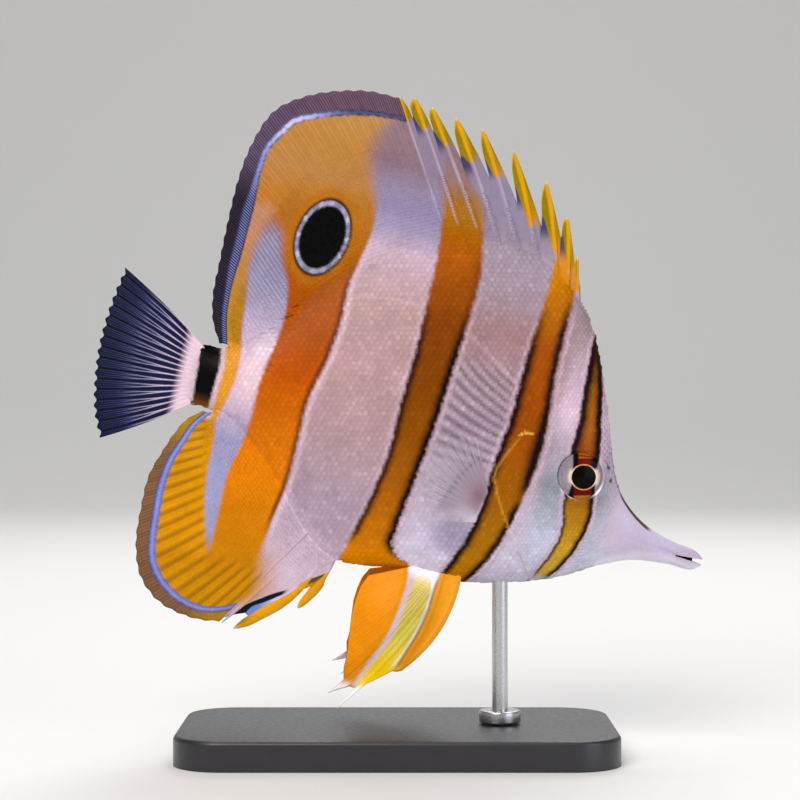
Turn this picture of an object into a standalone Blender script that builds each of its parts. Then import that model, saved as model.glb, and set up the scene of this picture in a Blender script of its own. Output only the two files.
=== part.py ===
# Copperband butterflyfish, life size, held head down on a plain display stand.
# The fish is drawn in millimetres in its own frame: x runs forward from the tail fin's base,
# z runs up, y runs to the fish's left. An empty then pitches it nose down over the stand.

import math

import bmesh
import bpy
import numpy as np
from mathutils import Matrix, Vector

MM = 0.001

# Pose and place of the fish over the stand
PITCH_DEG = 14.0
FISH_X = -48.1
FISH_Z = 90.6

# Clearances between neighbouring pieces, and how far each side of a parting line stands back
GAP = 0.3
PARTING_INSET = 0.18
CUT_REACH = 60.0

# Body: the outline from the tail fin's base to the jaws, seen from the side
BODY_BACK = [
    (-1.0, 7.4), (4.4, 7.4), (8.3, 10.2), (12.6, 14.2), (16.5, 19.4), (21.4, 26.4), (28.3, 33.5),
    (37.7, 40.3), (50.0, 46.4), (57.9, 48.6), (66.0, 49.2), (71.6, 48.3), (77.6, 45.6), (83.8, 40.6),
    (89.1, 34.2), (92.3, 28.5), (94.8, 22.8), (97.2, 17.0), (99.5, 11.0), (101.6, 4.8), (103.5, 0.4),
    (105.6, -2.9), (109.5, -6.6), (113.9, -9.2), (121.3, -11.3), (127.0, -12.4), (128.3, -13.4),
]
BODY_BELLY = [
    (-1.0, -7.2), (4.0, -6.8), (9.3, -8.2), (16.1, -12.5), (23.3, -18.9), (29.5, -25.6), (34.7, -30.8),
    (40.0, -34.0), (46.5, -34.7), (57.2, -33.3), (68.4, -33.4), (77.9, -31.8), (87.2, -29.2),
    (96.2, -25.7), (104.9, -20.8), (111.3, -18.0), (120.4, -16.7), (127.0, -16.3), (128.3, -15.2),
]
# Half the body's width, and the height at which it is widest, along the body
BODY_HALF_WIDTH = [
    (-1.0, 1.7), (4.0, 2.5), (10.0, 3.5), (20.0, 5.3), (35.0, 7.6), (50.0, 8.9), (65.0, 9.6),
    (78.0, 9.6), (88.0, 8.7), (96.0, 7.1), (102.0, 5.5), (108.0, 4.0), (114.0, 3.0), (121.0, 2.3),
    (126.5, 1.8), (128.3, 1.0),
]
BODY_WIDEST_AT = [
    (-1.0, 0.0), (20.0, 2.0), (45.0, 0.0), (65.0, -2.0), (80.0, -4.0), (96.0, -6.0), (105.0, -10.5),
    (114.0, -13.4), (128.3, -14.3),
]
# How thin the body is at its back and at its belly: 1 is an ellipse, more is a sharper edge
BACK_SHARPNESS = [
    (-1.0, 1.1), (12.0, 1.5), (40.0, 1.7), (70.0, 1.6), (90.0, 1.2), (104.0, 1.0), (128.3, 0.9),
]
BELLY_SHARPNESS = [(-1.0, 1.1), (12.0, 1.5), (34.0, 1.6), (50.0, 1.15), (90.0, 1.0), (128.3, 0.9)]
BODY_STATIONS = 40
BODY_RING = 13
BODY_EDGE = 0.25

# Where the body is parted: the stalk of the tail, the rear edge of the gill cover, the jaws
STALK_LINE = [(8.0, 60.0), (8.0, -60.0)]
GILL_LINE = [
    (88.0, 60.0), (86.8, 39.0), (86.2, 32.0), (85.0, 21.1), (82.2, 11.9), (78.6, 5.0), (76.0, -0.7),
    (74.5, -5.2), (76.0, -9.6), (79.6, -15.4), (83.6, -21.0), (87.8, -26.1), (91.5, -34.0), (92.0, -60.0),
]
JAW_LINE = [(114.5, 20.0), (112.6, -40.0)]
MOUTH_LEVEL = -14.2
MOUTH_CORNER_X = 122.0
MOUTH_OPEN = 0.9

# Gill cover: a plate on each cheek whose front edge is this line
GILL_PLATE_FRONT = [
    (79.6, 8.6), (84.0, 6.6), (86.2, 3.0), (87.1, -2.0), (88.0, -7.5), (89.8, -12.5), (90.2, -17.6),
    (88.4, -23.6),
]
GILL_PLATE_THICK = 1.5
GILL_PLATE_BACK_X = 68.0
GILL_PLATE_MIDLINE = 0.6

# Eye: a low lens in the side of the head, and the rim of skin round it
EYE_AT = (94.7, -1.1)
EYE_RADIUS = 5.7
EYE_FACE_Y = 8.2
EYE_DOME = 1.7
EYE_DEPTH = 5.0
EYE_FORWARD_DEG = 11.0
EYE_UP_DEG = 3.0
EYE_SIDES = 24
ORBIT_RADIUS = 6.1
ORBIT_THICK = 0.55
ORBIT_Y = 6.7

# Nostrils: two small pits before each eye
NOSTRILS = [(100.9, 2.4), (102.2, -0.6)]
NOSTRIL_RADIUS = 0.55

# Fin membranes: half thickness at the root and at the margin, and the height of a ray on it
SINK = 2.4
FIN_ROOT_HALF = 1.25
TAIL_ROOT_HALF = 1.45
MARGIN_HALF = 0.27
RAY_RIDGE = 0.22
EDGE_RAY = 1.6       # how much stouter the tail fin's outer rays are
SOFT_BOW = 1.1       # how far the rays of the rear fins bow
SCALLOP = 0.35       # how far the margin dips between two rays
FIN_ROWS = [0.0, 0.16, 0.38, 0.62, 0.84, 1.0]

# Spines of the back fin, first to ninth: root on the back, tip, and how far it bows forward
BACK_SPINES = [
    ((83.8, 40.4), (82.1, 49.3), -0.3), ((80.6, 43.5), (77.2, 58.2), -0.4),
    ((77.2, 45.6), (70.1, 65.3), -0.6), ((71.6, 48.0), (60.7, 70.6), -0.6),
    ((66.6, 49.0), (52.1, 73.9), -0.5), ((62.0, 49.0), (45.4, 75.0), -0.4),
    ((57.9, 48.4), (39.2, 76.0), -0.3), ((53.6, 47.6), (34.6, 77.2), -0.2),
    ((50.2, 46.4), (30.9, 76.6), 0.0),
]
# The notches of the membrane between them
BACK_NOTCHES = [
    (81.6, 47.6), (76.8, 53.0), (71.6, 54.6), (64.6, 58.6), (56.6, 62.9), (48.9, 65.6), (40.9, 70.3),
    (35.4, 72.2),
]
SPINE_RIDGE = 0.55
SPINE_TIP_HALF = 0.16
LOBE_BULGE = 0.5

# Soft part of the back fin: its root and its margin, front to rear
SOFT_BACK_ROOT = [
    (49.8, 46.2), (37.7, 40.2), (28.3, 33.4), (21.4, 26.2), (16.5, 19.2), (12.6, 14.0), (8.3, 10.0),
    (5.2, 7.6),
]
SOFT_BACK_MARGIN = [
    (30.5, 76.4), (23.3, 76.1), (18.4, 75.0), (9.4, 71.4), (3.1, 66.6), (-0.8, 56.5), (-1.8, 47.9),
    (-1.8, 38.5), (-1.4, 28.0), (-0.8, 18.4), (0.6, 13.4), (3.4, 8.6),
]
SOFT_BACK_RAYS = 25

# Anal fin: three spines, each a curved blade of its own, then the soft part
ANAL_SPINE_PATHS = [
    [(43.6, -32.0), (41.8, -39.6), (36.9, -48.4)],
    [(41.0, -31.4), (38.4, -40.0), (34.4, -47.2), (29.2, -53.3), (23.1, -56.8)],
    [(36.6, -30.4), (29.2, -43.2), (20.2, -56.2)],
]
ANAL_SPINE_HALF_WIDTHS = [1.1, 1.15, 0.6]
ANAL_SPINE_HALF_THICK = 0.75
ANAL_SPINE_RINGS = 7
ANAL_SPINE_SIDES = 8
# The membrane between the spines: root and margin points, front to rear
ANAL_MEMBRANE = [
    ((43.2, -34.4), (40.4, -42.0)), ((41.7, -34.2), (37.3, -43.1)), ((40.2, -33.8), (33.6, -47.8)),
    ((38.8, -33.2), (28.6, -53.0)), ((37.4, -32.2), (24.2, -55.4)), ((36.4, -31.8), (22.0, -53.9)),
    ((35.5, -31.2), (19.8, -56.2)),
]
SOFT_ANAL_ROOT = [
    (34.5, -30.4), (29.5, -25.5), (23.3, -18.8), (16.1, -12.4), (9.3, -8.0), (5.4, -6.8),
]
SOFT_ANAL_MARGIN = [
    (19.2, -56.0), (15.6, -56.8), (9.1, -56.5), (4.6, -55.2), (-1.6, -50.1), (-4.4, -43.2), (-5.4, -34.0),
    (-5.4, -26.0), (-3.6, -19.6), (-2.0, -15.0), (0.0, -11.1), (3.4, -8.0),
]
SOFT_ANAL_RAYS = 17

# Tail fin, top ray to bottom ray
TAIL_ROOT = [(1.8, 5.6), (1.8, -5.6)]
TAIL_MARGIN = [
    (-23.2, 20.9), (-24.4, 13.7), (-25.0, 6.1), (-24.8, -1.3), (-23.7, -8.4), (-21.9, -15.0), (-19.2, -20.4),
]
TAIL_RAYS = 13
TAIL_FLARE = 0.7
TAIL_SWING = 3.0
TAIL_REACH = 25.0

# Pelvic fins: spine, then five soft rays of which the first ends in two white points.
# The outline is the right fin's as it is seen from the side.
PELVIC_LINE_Z = -31.4
PELVIC_FORWARD_X = 72.4
PELVIC_COLUMNS = [
    # root x, margin point, ridge height, forward bow
    (72.5, (64.6, -55.7), 0.0, 3.2), (71.9, (63.6, -56.2), 0.75, 3.0), (71.2, (62.4, -56.4), 0.1, 2.6),
    (70.7, (58.2, -59.8), 0.1, 2.2), (70.2, (51.7, -67.8), 0.45, 1.9), (69.7, (54.3, -62.1), 0.1, 1.6),
    (69.2, (48.8, -64.7), 0.45, 1.4), (68.7, (51.7, -60.6), 0.1, 1.2), (68.2, (51.1, -58.2), 0.35, 1.0),
    (67.7, (51.1, -55.3), 0.1, 0.8), (67.2, (50.7, -52.1), 0.3, 0.7), (66.7, (50.3, -49.3), 0.1, 0.6),
    (66.2, (49.9, -45.9), 0.3, 0.5), (65.6, (50.0, -42.4), 0.1, 0.4), (65.0, (50.4, -39.2), 0.3, 0.3),
    (64.2, (51.6, -36.3), 0.0, 0.0),
]
PELVIC_ROOT_Y = 2.6
PELVIC_SEEN_SPLAY = 18.0
PELVIC_ROOT_HALF = 0.75
# Each side's splay from the midline and sweep to the rear, in degrees
PELVIC_POSE = {"right": (18.0, 0.0), "left": (30.0, -1.5)}

# Pectoral fins: a fan of clear rays behind each gill cover, swung well out from the body.
# The lengths are as seen from the side, from the top ray to the bottom ray.
PECTORAL_ROOT = [(74.2, -10.6), (73.4, -17.6)]
PECTORAL_RAYS = 11
PECTORAL_FAN_DEG = (-64.0, 12.0)
PECTORAL_LENGTHS = [(0.0, 13.5), (0.2, 16.5), (0.4, 17.5), (0.7, 15.0), (1.0, 9.5)]
PECTORAL_OUT_DEG = 42.0
PECTORAL_SINK = 1.6
PECTORAL_ROOT_HALF = 0.7
PECTORAL_RIDGE = 0.16
PECTORAL_SCALLOP = 0.4

# Stand
BASE_LENGTH = 104.0
BASE_DEPTH = 58.0
BASE_THICK = 7.0
BASE_CORNER = 12.0
BASE_CHAMFER = 1.0
ROD_X = 24.6
ROD_RADIUS = 1.9
ROD_SIDES = 24
ROD_SINK = 4.0
ROD_TOP = 48.0
COLLAR_RADIUS = 5.0
COLLAR_HEIGHT = 3.0


def clear_scene():
    for old in list(bpy.data.objects):
        bpy.data.objects.remove(old)


def paint(name, rgb, roughness, metallic=0.0):
    made = bpy.data.materials.new(name)
    made.use_nodes = True
    shader = made.node_tree.nodes["Principled BSDF"]
    shader.inputs["Base Color"].default_value = (*rgb, 1.0)
    shader.inputs["Roughness"].default_value = roughness
    shader.inputs["Metallic"].default_value = metallic
    return made


# Curves

def curve_through(points):
    """A smooth curve through the points, as a function of the share of its length, 0 to 1."""
    points = np.array(points, float)
    along = np.concatenate([[0.0], np.cumsum(np.linalg.norm(np.diff(points, axis=0), axis=1))])
    slopes = np.gradient(points, along, axis=0)

    def at(share):
        s = np.clip(np.asarray(share, float), 0.0, 1.0) * along[-1]
        i = np.clip(np.searchsorted(along, s, side="right") - 1, 0, len(along) - 2)
        step = along[i + 1] - along[i]
        t = ((s - along[i]) / step)[..., None]
        step = step[..., None]
        return (
            (2 * t**3 - 3 * t**2 + 1) * points[i]
            + (t**3 - 2 * t**2 + t) * step * slopes[i]
            + (3 * t**2 - 2 * t**3) * points[i + 1]
            + (t**3 - t**2) * step * slopes[i + 1]
        )

    return at


def height_along(points):
    """The curve's height as a function of x."""
    dense = curve_through(points)(np.linspace(0, 1, 600))
    return lambda x: float(np.interp(x, dense[:, 0], dense[:, 1]))


back_at = height_along(BODY_BACK)
belly_at = height_along(BODY_BELLY)
half_width_at = height_along(BODY_HALF_WIDTH)
widest_at = height_along(BODY_WIDEST_AT)
back_sharpness_at = height_along(BACK_SHARPNESS)
belly_sharpness_at = height_along(BELLY_SHARPNESS)


def flank_y(x, z):
    """Half the body's width at a point of its side."""
    widest = widest_at(x)
    if z > widest:
        rise, sharp = (z - widest) / (back_at(x) - widest), back_sharpness_at(x)
    else:
        rise, sharp = (widest - z) / (widest - belly_at(x)), belly_sharpness_at(x)
    return BODY_EDGE + half_width_at(x) * max(0.0, 1.0 - min(rise, 1.0) ** 2) ** (sharp / 2)


# Meshes and cuts

def new_object(name, bm, material=None):
    mesh = bpy.data.meshes.new(name)
    bm.to_mesh(mesh)
    bm.free()
    made = bpy.data.objects.new(name, mesh)
    bpy.context.scene.collection.objects.link(made)
    if material:
        mesh.materials.append(material)
    return made


def as_helper(obj):
    obj.hide_render = True
    obj.display_type = "WIRE"
    return obj


def copy_of(obj, name):
    made = bpy.data.objects.new(name, obj.data.copy())
    bpy.context.scene.collection.objects.link(made)
    return made


def grown(obj, name, by):
    """A helper copy whose surface lies this far outside the object's, or inside where by is negative."""
    bm = bmesh.new()
    bm.from_mesh(obj.data)
    bm.normal_update()
    for vert, normal in [(v, v.normal.copy()) for v in bm.verts]:
        vert.co += normal * by * MM
    return as_helper(new_object(name, bm))


def largest_body(bm):
    """Drops every loose scrap but the largest closed surface."""
    left = set(bm.faces)
    bodies = []
    while left:
        todo = [left.pop()]
        body = list(todo)
        while todo:
            for edge in todo.pop().edges:
                for face in edge.link_faces:
                    if face in left:
                        left.discard(face)
                        todo.append(face)
                        body.append(face)
        bodies.append(body)
    bodies.sort(key=len)
    scraps = [face for body in bodies[:-1] for face in body]
    bmesh.ops.delete(bm, geom=scraps, context="FACES")


def carve(obj, cutter, operation="DIFFERENCE"):
    """Applies a Boolean with the cutter and keeps the largest body."""
    modifier = obj.modifiers.new("carve", "BOOLEAN")
    modifier.operation = operation
    modifier.object = cutter
    modifier.solver = "EXACT"
    bpy.context.view_layer.update()
    evaluated = obj.evaluated_get(bpy.context.evaluated_depsgraph_get())
    bm = bmesh.new()
    bm.from_mesh(evaluated.to_mesh())
    evaluated.to_mesh_clear()
    obj.modifiers.remove(modifier)
    bmesh.ops.triangulate(bm, faces=bm.faces)
    largest_body(bm)
    bm.to_mesh(obj.data)
    bm.free()
    return obj


def shade(obj, sharp_deg=32.0):
    obj.data.shade_smooth()
    obj.data.set_sharp_from_angle(angle=math.radians(sharp_deg))


def prism(name, outline, y_low=-CUT_REACH, y_high=CUT_REACH):
    """A helper block whose side view is the outline."""
    bm = bmesh.new()
    face = bm.faces.new([bm.verts.new((x * MM, y_low * MM, z * MM)) for x, z in outline])
    grown_face = bmesh.ops.extrude_face_region(bm, geom=[face])
    moved = [v for v in grown_face["geom"] if isinstance(v, bmesh.types.BMVert)]
    bmesh.ops.translate(bm, verts=moved, vec=(0, (y_high - y_low) * MM, 0))
    bmesh.ops.recalc_face_normals(bm, faces=bm.faces)
    return as_helper(new_object(name, bm))


def line_points(line, shift, count=28):
    """Points down a parting line, moved forward by the shift."""
    return [(x + shift, z) for x, z in curve_through(line)(np.linspace(0, 1, count))]


def between(name, rear_line, front_line):
    """The block between two parting lines, a little inside each."""
    rear = line_points(rear_line, PARTING_INSET)
    front = line_points(front_line, -PARTING_INSET)
    return prism(name, rear + front[::-1])


# The body

def body_ring(bm, x):
    """The ring of vertices of the body's section at x."""
    back, belly, widest, half = back_at(x), belly_at(x), widest_at(x), half_width_at(x)
    verts = []
    for side in (-1, 1):
        turns = np.linspace(0, math.pi, BODY_RING + 1)
        for turn in turns if side < 0 else turns[::-1]:
            upper = turn <= math.pi / 2
            sharp = back_sharpness_at(x) if upper else belly_sharpness_at(x)
            z = widest + math.cos(turn) * ((back - widest) if upper else (widest - belly))
            y = side * (BODY_EDGE + half * max(0.0, math.sin(turn)) ** sharp)
            verts.append(bm.verts.new((x * MM, y * MM, z * MM)))
    return verts


def body_stations():
    """Stations along the body, close together where its outline is steep."""
    dense = np.linspace(BODY_BACK[0][0], BODY_BACK[-1][0], 800)
    back = np.array([back_at(x) for x in dense])
    length = np.concatenate([[0.0], np.cumsum(np.hypot(np.diff(dense), 0.7 * np.diff(back)))])
    return np.interp(np.linspace(0, length[-1], BODY_STATIONS), length, dense)


def make_body():
    bm = bmesh.new()
    rings = [body_ring(bm, x) for x in body_stations()]
    for rear, front in zip(rings, rings[1:]):
        for i in range(len(rear)):
            j = (i + 1) % len(rear)
            bm.faces.new((rear[i], rear[j], front[j], front[i]))
    bm.faces.new(rings[0])
    bm.faces.new(rings[-1][::-1])
    bmesh.ops.recalc_face_normals(bm, faces=bm.faces)
    bmesh.ops.triangulate(bm, faces=bm.faces)
    return as_helper(new_object("whole_body", bm))


def eye_matrix(side):
    """Places a piece drawn about +Y on one side of the head, its axis a little forward and up."""
    turn = Matrix.Rotation(math.radians(-EYE_FORWARD_DEG), 4, "Z")
    lift = Matrix.Rotation(math.radians(EYE_UP_DEG), 4, "X")
    place = Matrix.Translation(Vector((EYE_AT[0], EYE_FACE_Y, EYE_AT[1])) * MM)
    flip = Matrix.Diagonal((1, side, 1, 1))
    return flip @ place @ turn @ lift


def make_eye(name, side, material):
    """A lens turned from its half profile."""
    dome = [(EYE_RADIUS * math.sin(a), EYE_DOME * (math.cos(a) - 1)) for a in np.linspace(0, math.pi / 2, 6)]
    behind = np.linspace(0.35, math.pi / 2, 4)
    back = [(EYE_RADIUS * math.cos(a), -EYE_DOME - EYE_DEPTH * math.sin(a)) for a in behind]
    bm = bmesh.new()
    verts = [bm.verts.new((r * MM, y * MM, 0)) for r, y in dome + back]
    edges = [bm.edges.new(pair) for pair in zip(verts, verts[1:])]
    bmesh.ops.spin(
        bm, geom=verts + edges, cent=(0, 0, 0), axis=(0, 1, 0), angle=math.tau, steps=EYE_SIDES,
        use_merge=True,
    )
    bmesh.ops.remove_doubles(bm, verts=bm.verts, dist=0.00002)
    bmesh.ops.transform(bm, matrix=eye_matrix(side), verts=bm.verts)
    bmesh.ops.recalc_face_normals(bm, faces=bm.faces)
    return new_object(name, bm, material)


def make_orbit(name, side):
    """The raised rim of skin round an eye."""
    bm = bmesh.new()
    ring = []
    section = [
        (ORBIT_RADIUS + ORBIT_THICK * math.cos(a), ORBIT_Y - EYE_FACE_Y + ORBIT_THICK * math.sin(a))
        for a in np.linspace(0, math.tau, 6, endpoint=False)
    ]
    for turn in np.linspace(0, math.tau, EYE_SIDES, endpoint=False):
        ring.append([
            bm.verts.new(Vector((r * math.cos(turn), y, r * math.sin(turn))) * MM) for r, y in section
        ])
    for i, here in enumerate(ring):
        there = ring[(i + 1) % len(ring)]
        for k in range(len(here)):
            n = (k + 1) % len(here)
            bm.faces.new((here[k], here[n], there[n], there[k]))
    bmesh.ops.transform(bm, matrix=eye_matrix(side), verts=bm.verts)
    bmesh.ops.recalc_face_normals(bm, faces=bm.faces)
    return as_helper(new_object(name, bm))


def ball(name, at, radius):
    bm = bmesh.new()
    bmesh.ops.create_icosphere(bm, subdivisions=1, radius=radius * MM)
    bmesh.ops.translate(bm, verts=bm.verts, vec=Vector(at) * MM)
    return as_helper(new_object(name, bm))


def gill_plate_outline(inset):
    front = curve_through(GILL_PLATE_FRONT)(np.linspace(0, 1, 12))
    top, bottom = GILL_PLATE_FRONT[0], GILL_PLATE_FRONT[-1]
    corners = [(GILL_PLATE_BACK_X, bottom[1] - inset), (GILL_PLATE_BACK_X, top[1] + inset)]
    outline = [(x + inset, z) for x, z in front]
    outline[0] = (outline[0][0], top[1] + inset)
    outline[-1] = (outline[-1][0], bottom[1] - inset)
    return outline + corners


def make_head(whole, skin_paint, eyes):
    """The head, with eye sockets, gill covers let into its cheeks, and nostrils."""
    head = copy_of(whole, "head")
    head.data.materials.append(skin_paint)
    carve(head, between("head_block", GILL_LINE, JAW_LINE), "INTERSECT")
    under_plate = grown(whole, "under_plate", -GILL_PLATE_THICK)
    pocket_floor = grown(whole, "pocket_floor", -GILL_PLATE_THICK - GAP)
    covers = {}
    for side, side_name in ((-1, "right"), (1, "left")):
        cover = copy_of(head, "gill_cover_" + side_name)
        ends = sorted((side * GILL_PLATE_MIDLINE, side * CUT_REACH))
        carve(cover, prism("plate_block_" + side_name, gill_plate_outline(0.0), *ends), "INTERSECT")
        carve(cover, under_plate)
        covers[side_name] = cover
    for side, side_name in ((-1, "right"), (1, "left")):
        ends = sorted((side * (GILL_PLATE_MIDLINE - GAP), side * CUT_REACH))
        pocket = prism("pocket_" + side_name, gill_plate_outline(GAP), *ends)
        carve(pocket, pocket_floor)
        carve(head, pocket)
    for side_name, side in (("right", -1), ("left", 1)):
        carve(head, make_orbit("orbit_" + side_name, side), "UNION")
        carve(head, grown(eyes[side_name], "socket_" + side_name, GAP))
        for i, (x, z) in enumerate(NOSTRILS):
            carve(head, ball(f"nostril_{side_name}_{i}", (x, side * (flank_y(x, z) + 0.1), z), NOSTRIL_RADIUS))
    return head, covers


def mouth_half(x):
    """Half the opening between the jaws at x."""
    share = max(0.0, (x - MOUTH_CORNER_X) / (BODY_BACK[-1][0] - MOUTH_CORNER_X))
    return GAP / 2 + share * (MOUTH_OPEN - GAP) / 2


def make_jaw(whole, name, side, skin_paint):
    """The upper jaw, side 1, or the lower jaw, side -1."""
    rear = line_points(JAW_LINE, PARTING_INSET, 6)
    rear_x = JAW_LINE[1][0] - 1.0
    tip_x = BODY_BACK[-1][0] + 5.0
    lip = [(x, MOUTH_LEVEL + side * mouth_half(x)) for x in np.linspace(rear_x, tip_x, 10)]
    far = MOUTH_LEVEL + side * 40.0
    block = prism(name + "_block", lip + [(tip_x, far), (rear_x, far)])
    jaw = copy_of(whole, name)
    jaw.data.materials.append(skin_paint)
    front = [(tip_x + 5.0, rear[-1][1]), (tip_x + 5.0, rear[0][1])]
    carve(jaw, prism(name + "_front", rear + front), "INTERSECT")
    carve(jaw, block, "INTERSECT")
    return jaw


# Fins

def fin_object(name, grid, normals, halves, material):
    """A closed sheet: the grid moved half its thickness to each side, with its rim filled in."""
    grid, normals = np.array(grid, float), np.array(normals, float)
    halves = np.array(halves, float)[..., None]
    cols, rows = grid.shape[:2]
    bm = bmesh.new()
    sheets = []
    for side in (-1, 1):
        points = (grid + side * normals * halves) * MM
        sheets.append([[bm.verts.new(points[c, r]) for r in range(rows)] for c in range(cols)])
    near, far = sheets
    for c in range(cols - 1):
        for r in range(rows - 1):
            for sheet, turn in ((near, 1), (far, -1)):
                a, b, d, e = sheet[c][r], sheet[c + 1][r], sheet[c + 1][r + 1], sheet[c][r + 1]
                bm.faces.new((a, b, d)[::turn])
                bm.faces.new((a, d, e)[::turn])
    loop = [(c, 0) for c in range(cols)] + [(cols - 1, r) for r in range(1, rows)]
    loop += [(c, rows - 1) for c in range(cols - 2, -1, -1)] + [(0, r) for r in range(rows - 2, 0, -1)]
    for (c, r), (d, s) in zip(loop, loop[1:] + loop[:1]):
        bm.faces.new((near[c][r], far[c][r], far[d][s]))
        bm.faces.new((near[c][r], far[d][s], near[d][s]))
    bmesh.ops.recalc_face_normals(bm, faces=bm.faces)
    return new_object(name, bm, material)


def fin_path(root, margin, bow):
    """Points of one ray from its root to the margin, bowed sideways by so many millimetres."""
    root, margin = np.array(root, float), np.array(margin, float)
    along = margin - root
    side = np.array([-along[1], along[0]]) / np.linalg.norm(along)
    return [root + along * v + side * bow * 4 * v * (1 - v) for v in FIN_ROWS]


def thickness(root_half, margin_half, ridge, v):
    """Half the sheet's thickness at the share v of a ray."""
    return margin_half + (root_half - margin_half) * (1 - v) ** 1.8 + ridge * min(1.0, 0.25 + v) * (1 - 0.5 * v)


def median_fin(name, columns, root_half, material, swing=None):
    """A fin in the midplane. A column is (root, margin, bow, ridge, half thickness at the margin)."""
    grid, halves = [], []
    for root, margin, bow, ridge, margin_half in columns:
        root, margin = np.array(root, float), np.array(margin, float)
        inward = (root - margin) / np.linalg.norm(root - margin)
        path = fin_path(root + inward * SINK, margin, bow)
        grid.append([(x, swing(x) if swing else 0.0, z) for x, z in path])
        halves.append([thickness(root_half, margin_half, ridge, v) for v in FIN_ROWS])
    normals = np.zeros((len(grid), len(FIN_ROWS), 3))
    normals[..., 1] = 1.0
    return fin_object(name, grid, normals, halves, material)


def spiny_columns(spines, notches, first_forward, last_back):
    """Columns for a row of spines with notched membrane between them, front to rear."""
    roots, tips, bows = ([np.array(spine[k]) for spine in spines] for k in range(3))
    ahead = np.array(first_forward)
    columns = [(roots[0] + ahead, roots[0] + ahead * 0.7 + (tips[0] - roots[0]) * 0.45, 0.0, 0.0, MARGIN_HALF)]
    for i, notch in enumerate(np.array(notches)):
        root, tip, bow = roots[i], tips[i], bows[i]
        behind, next_bow = roots[i + 1], bows[i + 1]
        reach = np.linalg.norm(notch - root) / np.linalg.norm(tips[i + 1] - behind)
        forward = (tip - tips[i + 1]) / np.linalg.norm(tip - tips[i + 1])
        lobe = (tip + notch) / 2 - LOBE_BULGE * forward
        columns.append((root, tip, bow, SPINE_RIDGE, SPINE_TIP_HALF))
        columns.append((root * 0.62 + behind * 0.38, lobe, (bow + next_bow) / 2 * reach, 0.0, MARGIN_HALF))
        columns.append((root * 0.25 + behind * 0.75, notch, next_bow * reach * 0.7, 0.0, MARGIN_HALF))
    columns.append((roots[-1], tips[-1], bows[-1], SPINE_RIDGE, SPINE_TIP_HALF))
    rear = np.array(last_back)
    columns.append((roots[-1] + rear, tips[-1] + rear, bows[-1], 0.0, MARGIN_HALF))
    return columns


def blade(name, path, half_width):
    """A curved, tapering blade along a path in the midplane."""
    shares = np.linspace(0, 1, ANAL_SPINE_RINGS)
    points = curve_through(path)(shares)
    along = np.gradient(points, axis=0)
    along /= np.linalg.norm(along, axis=1, keepdims=True)
    bm = bmesh.new()
    rings = []
    for (x, z), (dx, dz), share in zip(points, along, shares):
        taper = 0.12 + 0.88 * (1 - share) ** 0.8
        ring = []
        for turn in np.linspace(0, math.tau, ANAL_SPINE_SIDES, endpoint=False):
            across = math.cos(turn) * half_width * taper
            y = math.sin(turn) * ANAL_SPINE_HALF_THICK * taper
            ring.append(bm.verts.new(((x - dz * across) * MM, y * MM, (z + dx * across) * MM)))
        rings.append(ring)
    for here, there in zip(rings, rings[1:]):
        for k in range(len(here)):
            n = (k + 1) % len(here)
            bm.faces.new((here[k], here[n], there[n], there[k]))
    bm.faces.new(rings[0])
    bm.faces.new(rings[-1])
    bmesh.ops.recalc_face_normals(bm, faces=bm.faces)
    return as_helper(new_object(name, bm))


def anal_fin_spines(material):
    """The spiny part of the anal fin: a thin membrane with the blades fused into it."""
    columns = [(root, margin, 0.0, 0.0, MARGIN_HALF) for root, margin in ANAL_MEMBRANE]
    fin = median_fin("anal_fin_spines", columns, ANAL_SPINE_HALF_THICK, material)
    for i, (path, half_width) in enumerate(zip(ANAL_SPINE_PATHS, ANAL_SPINE_HALF_WIDTHS)):
        carve(fin, blade(f"anal_spine_{i}", path, half_width), "UNION")
    return fin


def soft_columns(root_line, margin_line, rays, bow):
    """Columns for a soft fin: a ray, the membrane after it, the next ray, to the last."""
    count = 2 * rays - 1
    shares = np.linspace(0, 1, count)
    roots = curve_through(root_line)(shares)
    margins = curve_through(margin_line)(shares)
    columns = []
    for k in range(count):
        is_ray = k % 2 == 0
        root, margin = roots[k], margins[k]
        if not is_ray:
            margin = margin + (root - margin) / np.linalg.norm(root - margin) * SCALLOP
        eased_bow = bow * min(1.0, shares[k] / 0.2)
        columns.append((root, margin, eased_bow, RAY_RIDGE if is_ray else 0.0, MARGIN_HALF))
    return columns


def tail_columns():
    """Columns of the tail fin, whose rays leave the stalk close together and flare."""
    count = 2 * TAIL_RAYS - 1
    shares = np.linspace(0, 1, count)
    roots = curve_through(TAIL_ROOT)(shares)
    margins = curve_through(TAIL_MARGIN)(shares)
    columns = []
    for k in range(count):
        ridge = RAY_RIDGE if k % 2 == 0 else 0.0
        if k in (0, count - 1):
            ridge *= EDGE_RAY
        bow = TAIL_FLARE * (2 * shares[k] - 1)
        columns.append((roots[k], margins[k], bow, ridge, MARGIN_HALF))
    return columns


def tail_swing(x):
    """How far the tail fin bends to the fish's left at x."""
    return TAIL_SWING * (max(0.0, -x) / TAIL_REACH) ** 2


def sheet_normals(grid):
    """Unit normals of a grid of points, on the side of +Y."""
    along_cols = np.gradient(grid, axis=0)
    along_rows = np.gradient(grid, axis=1)
    normals = np.cross(along_cols, along_rows)
    normals /= np.linalg.norm(normals, axis=2, keepdims=True)
    return normals * np.where(normals[..., 1:2] < 0, -1.0, 1.0)


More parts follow.
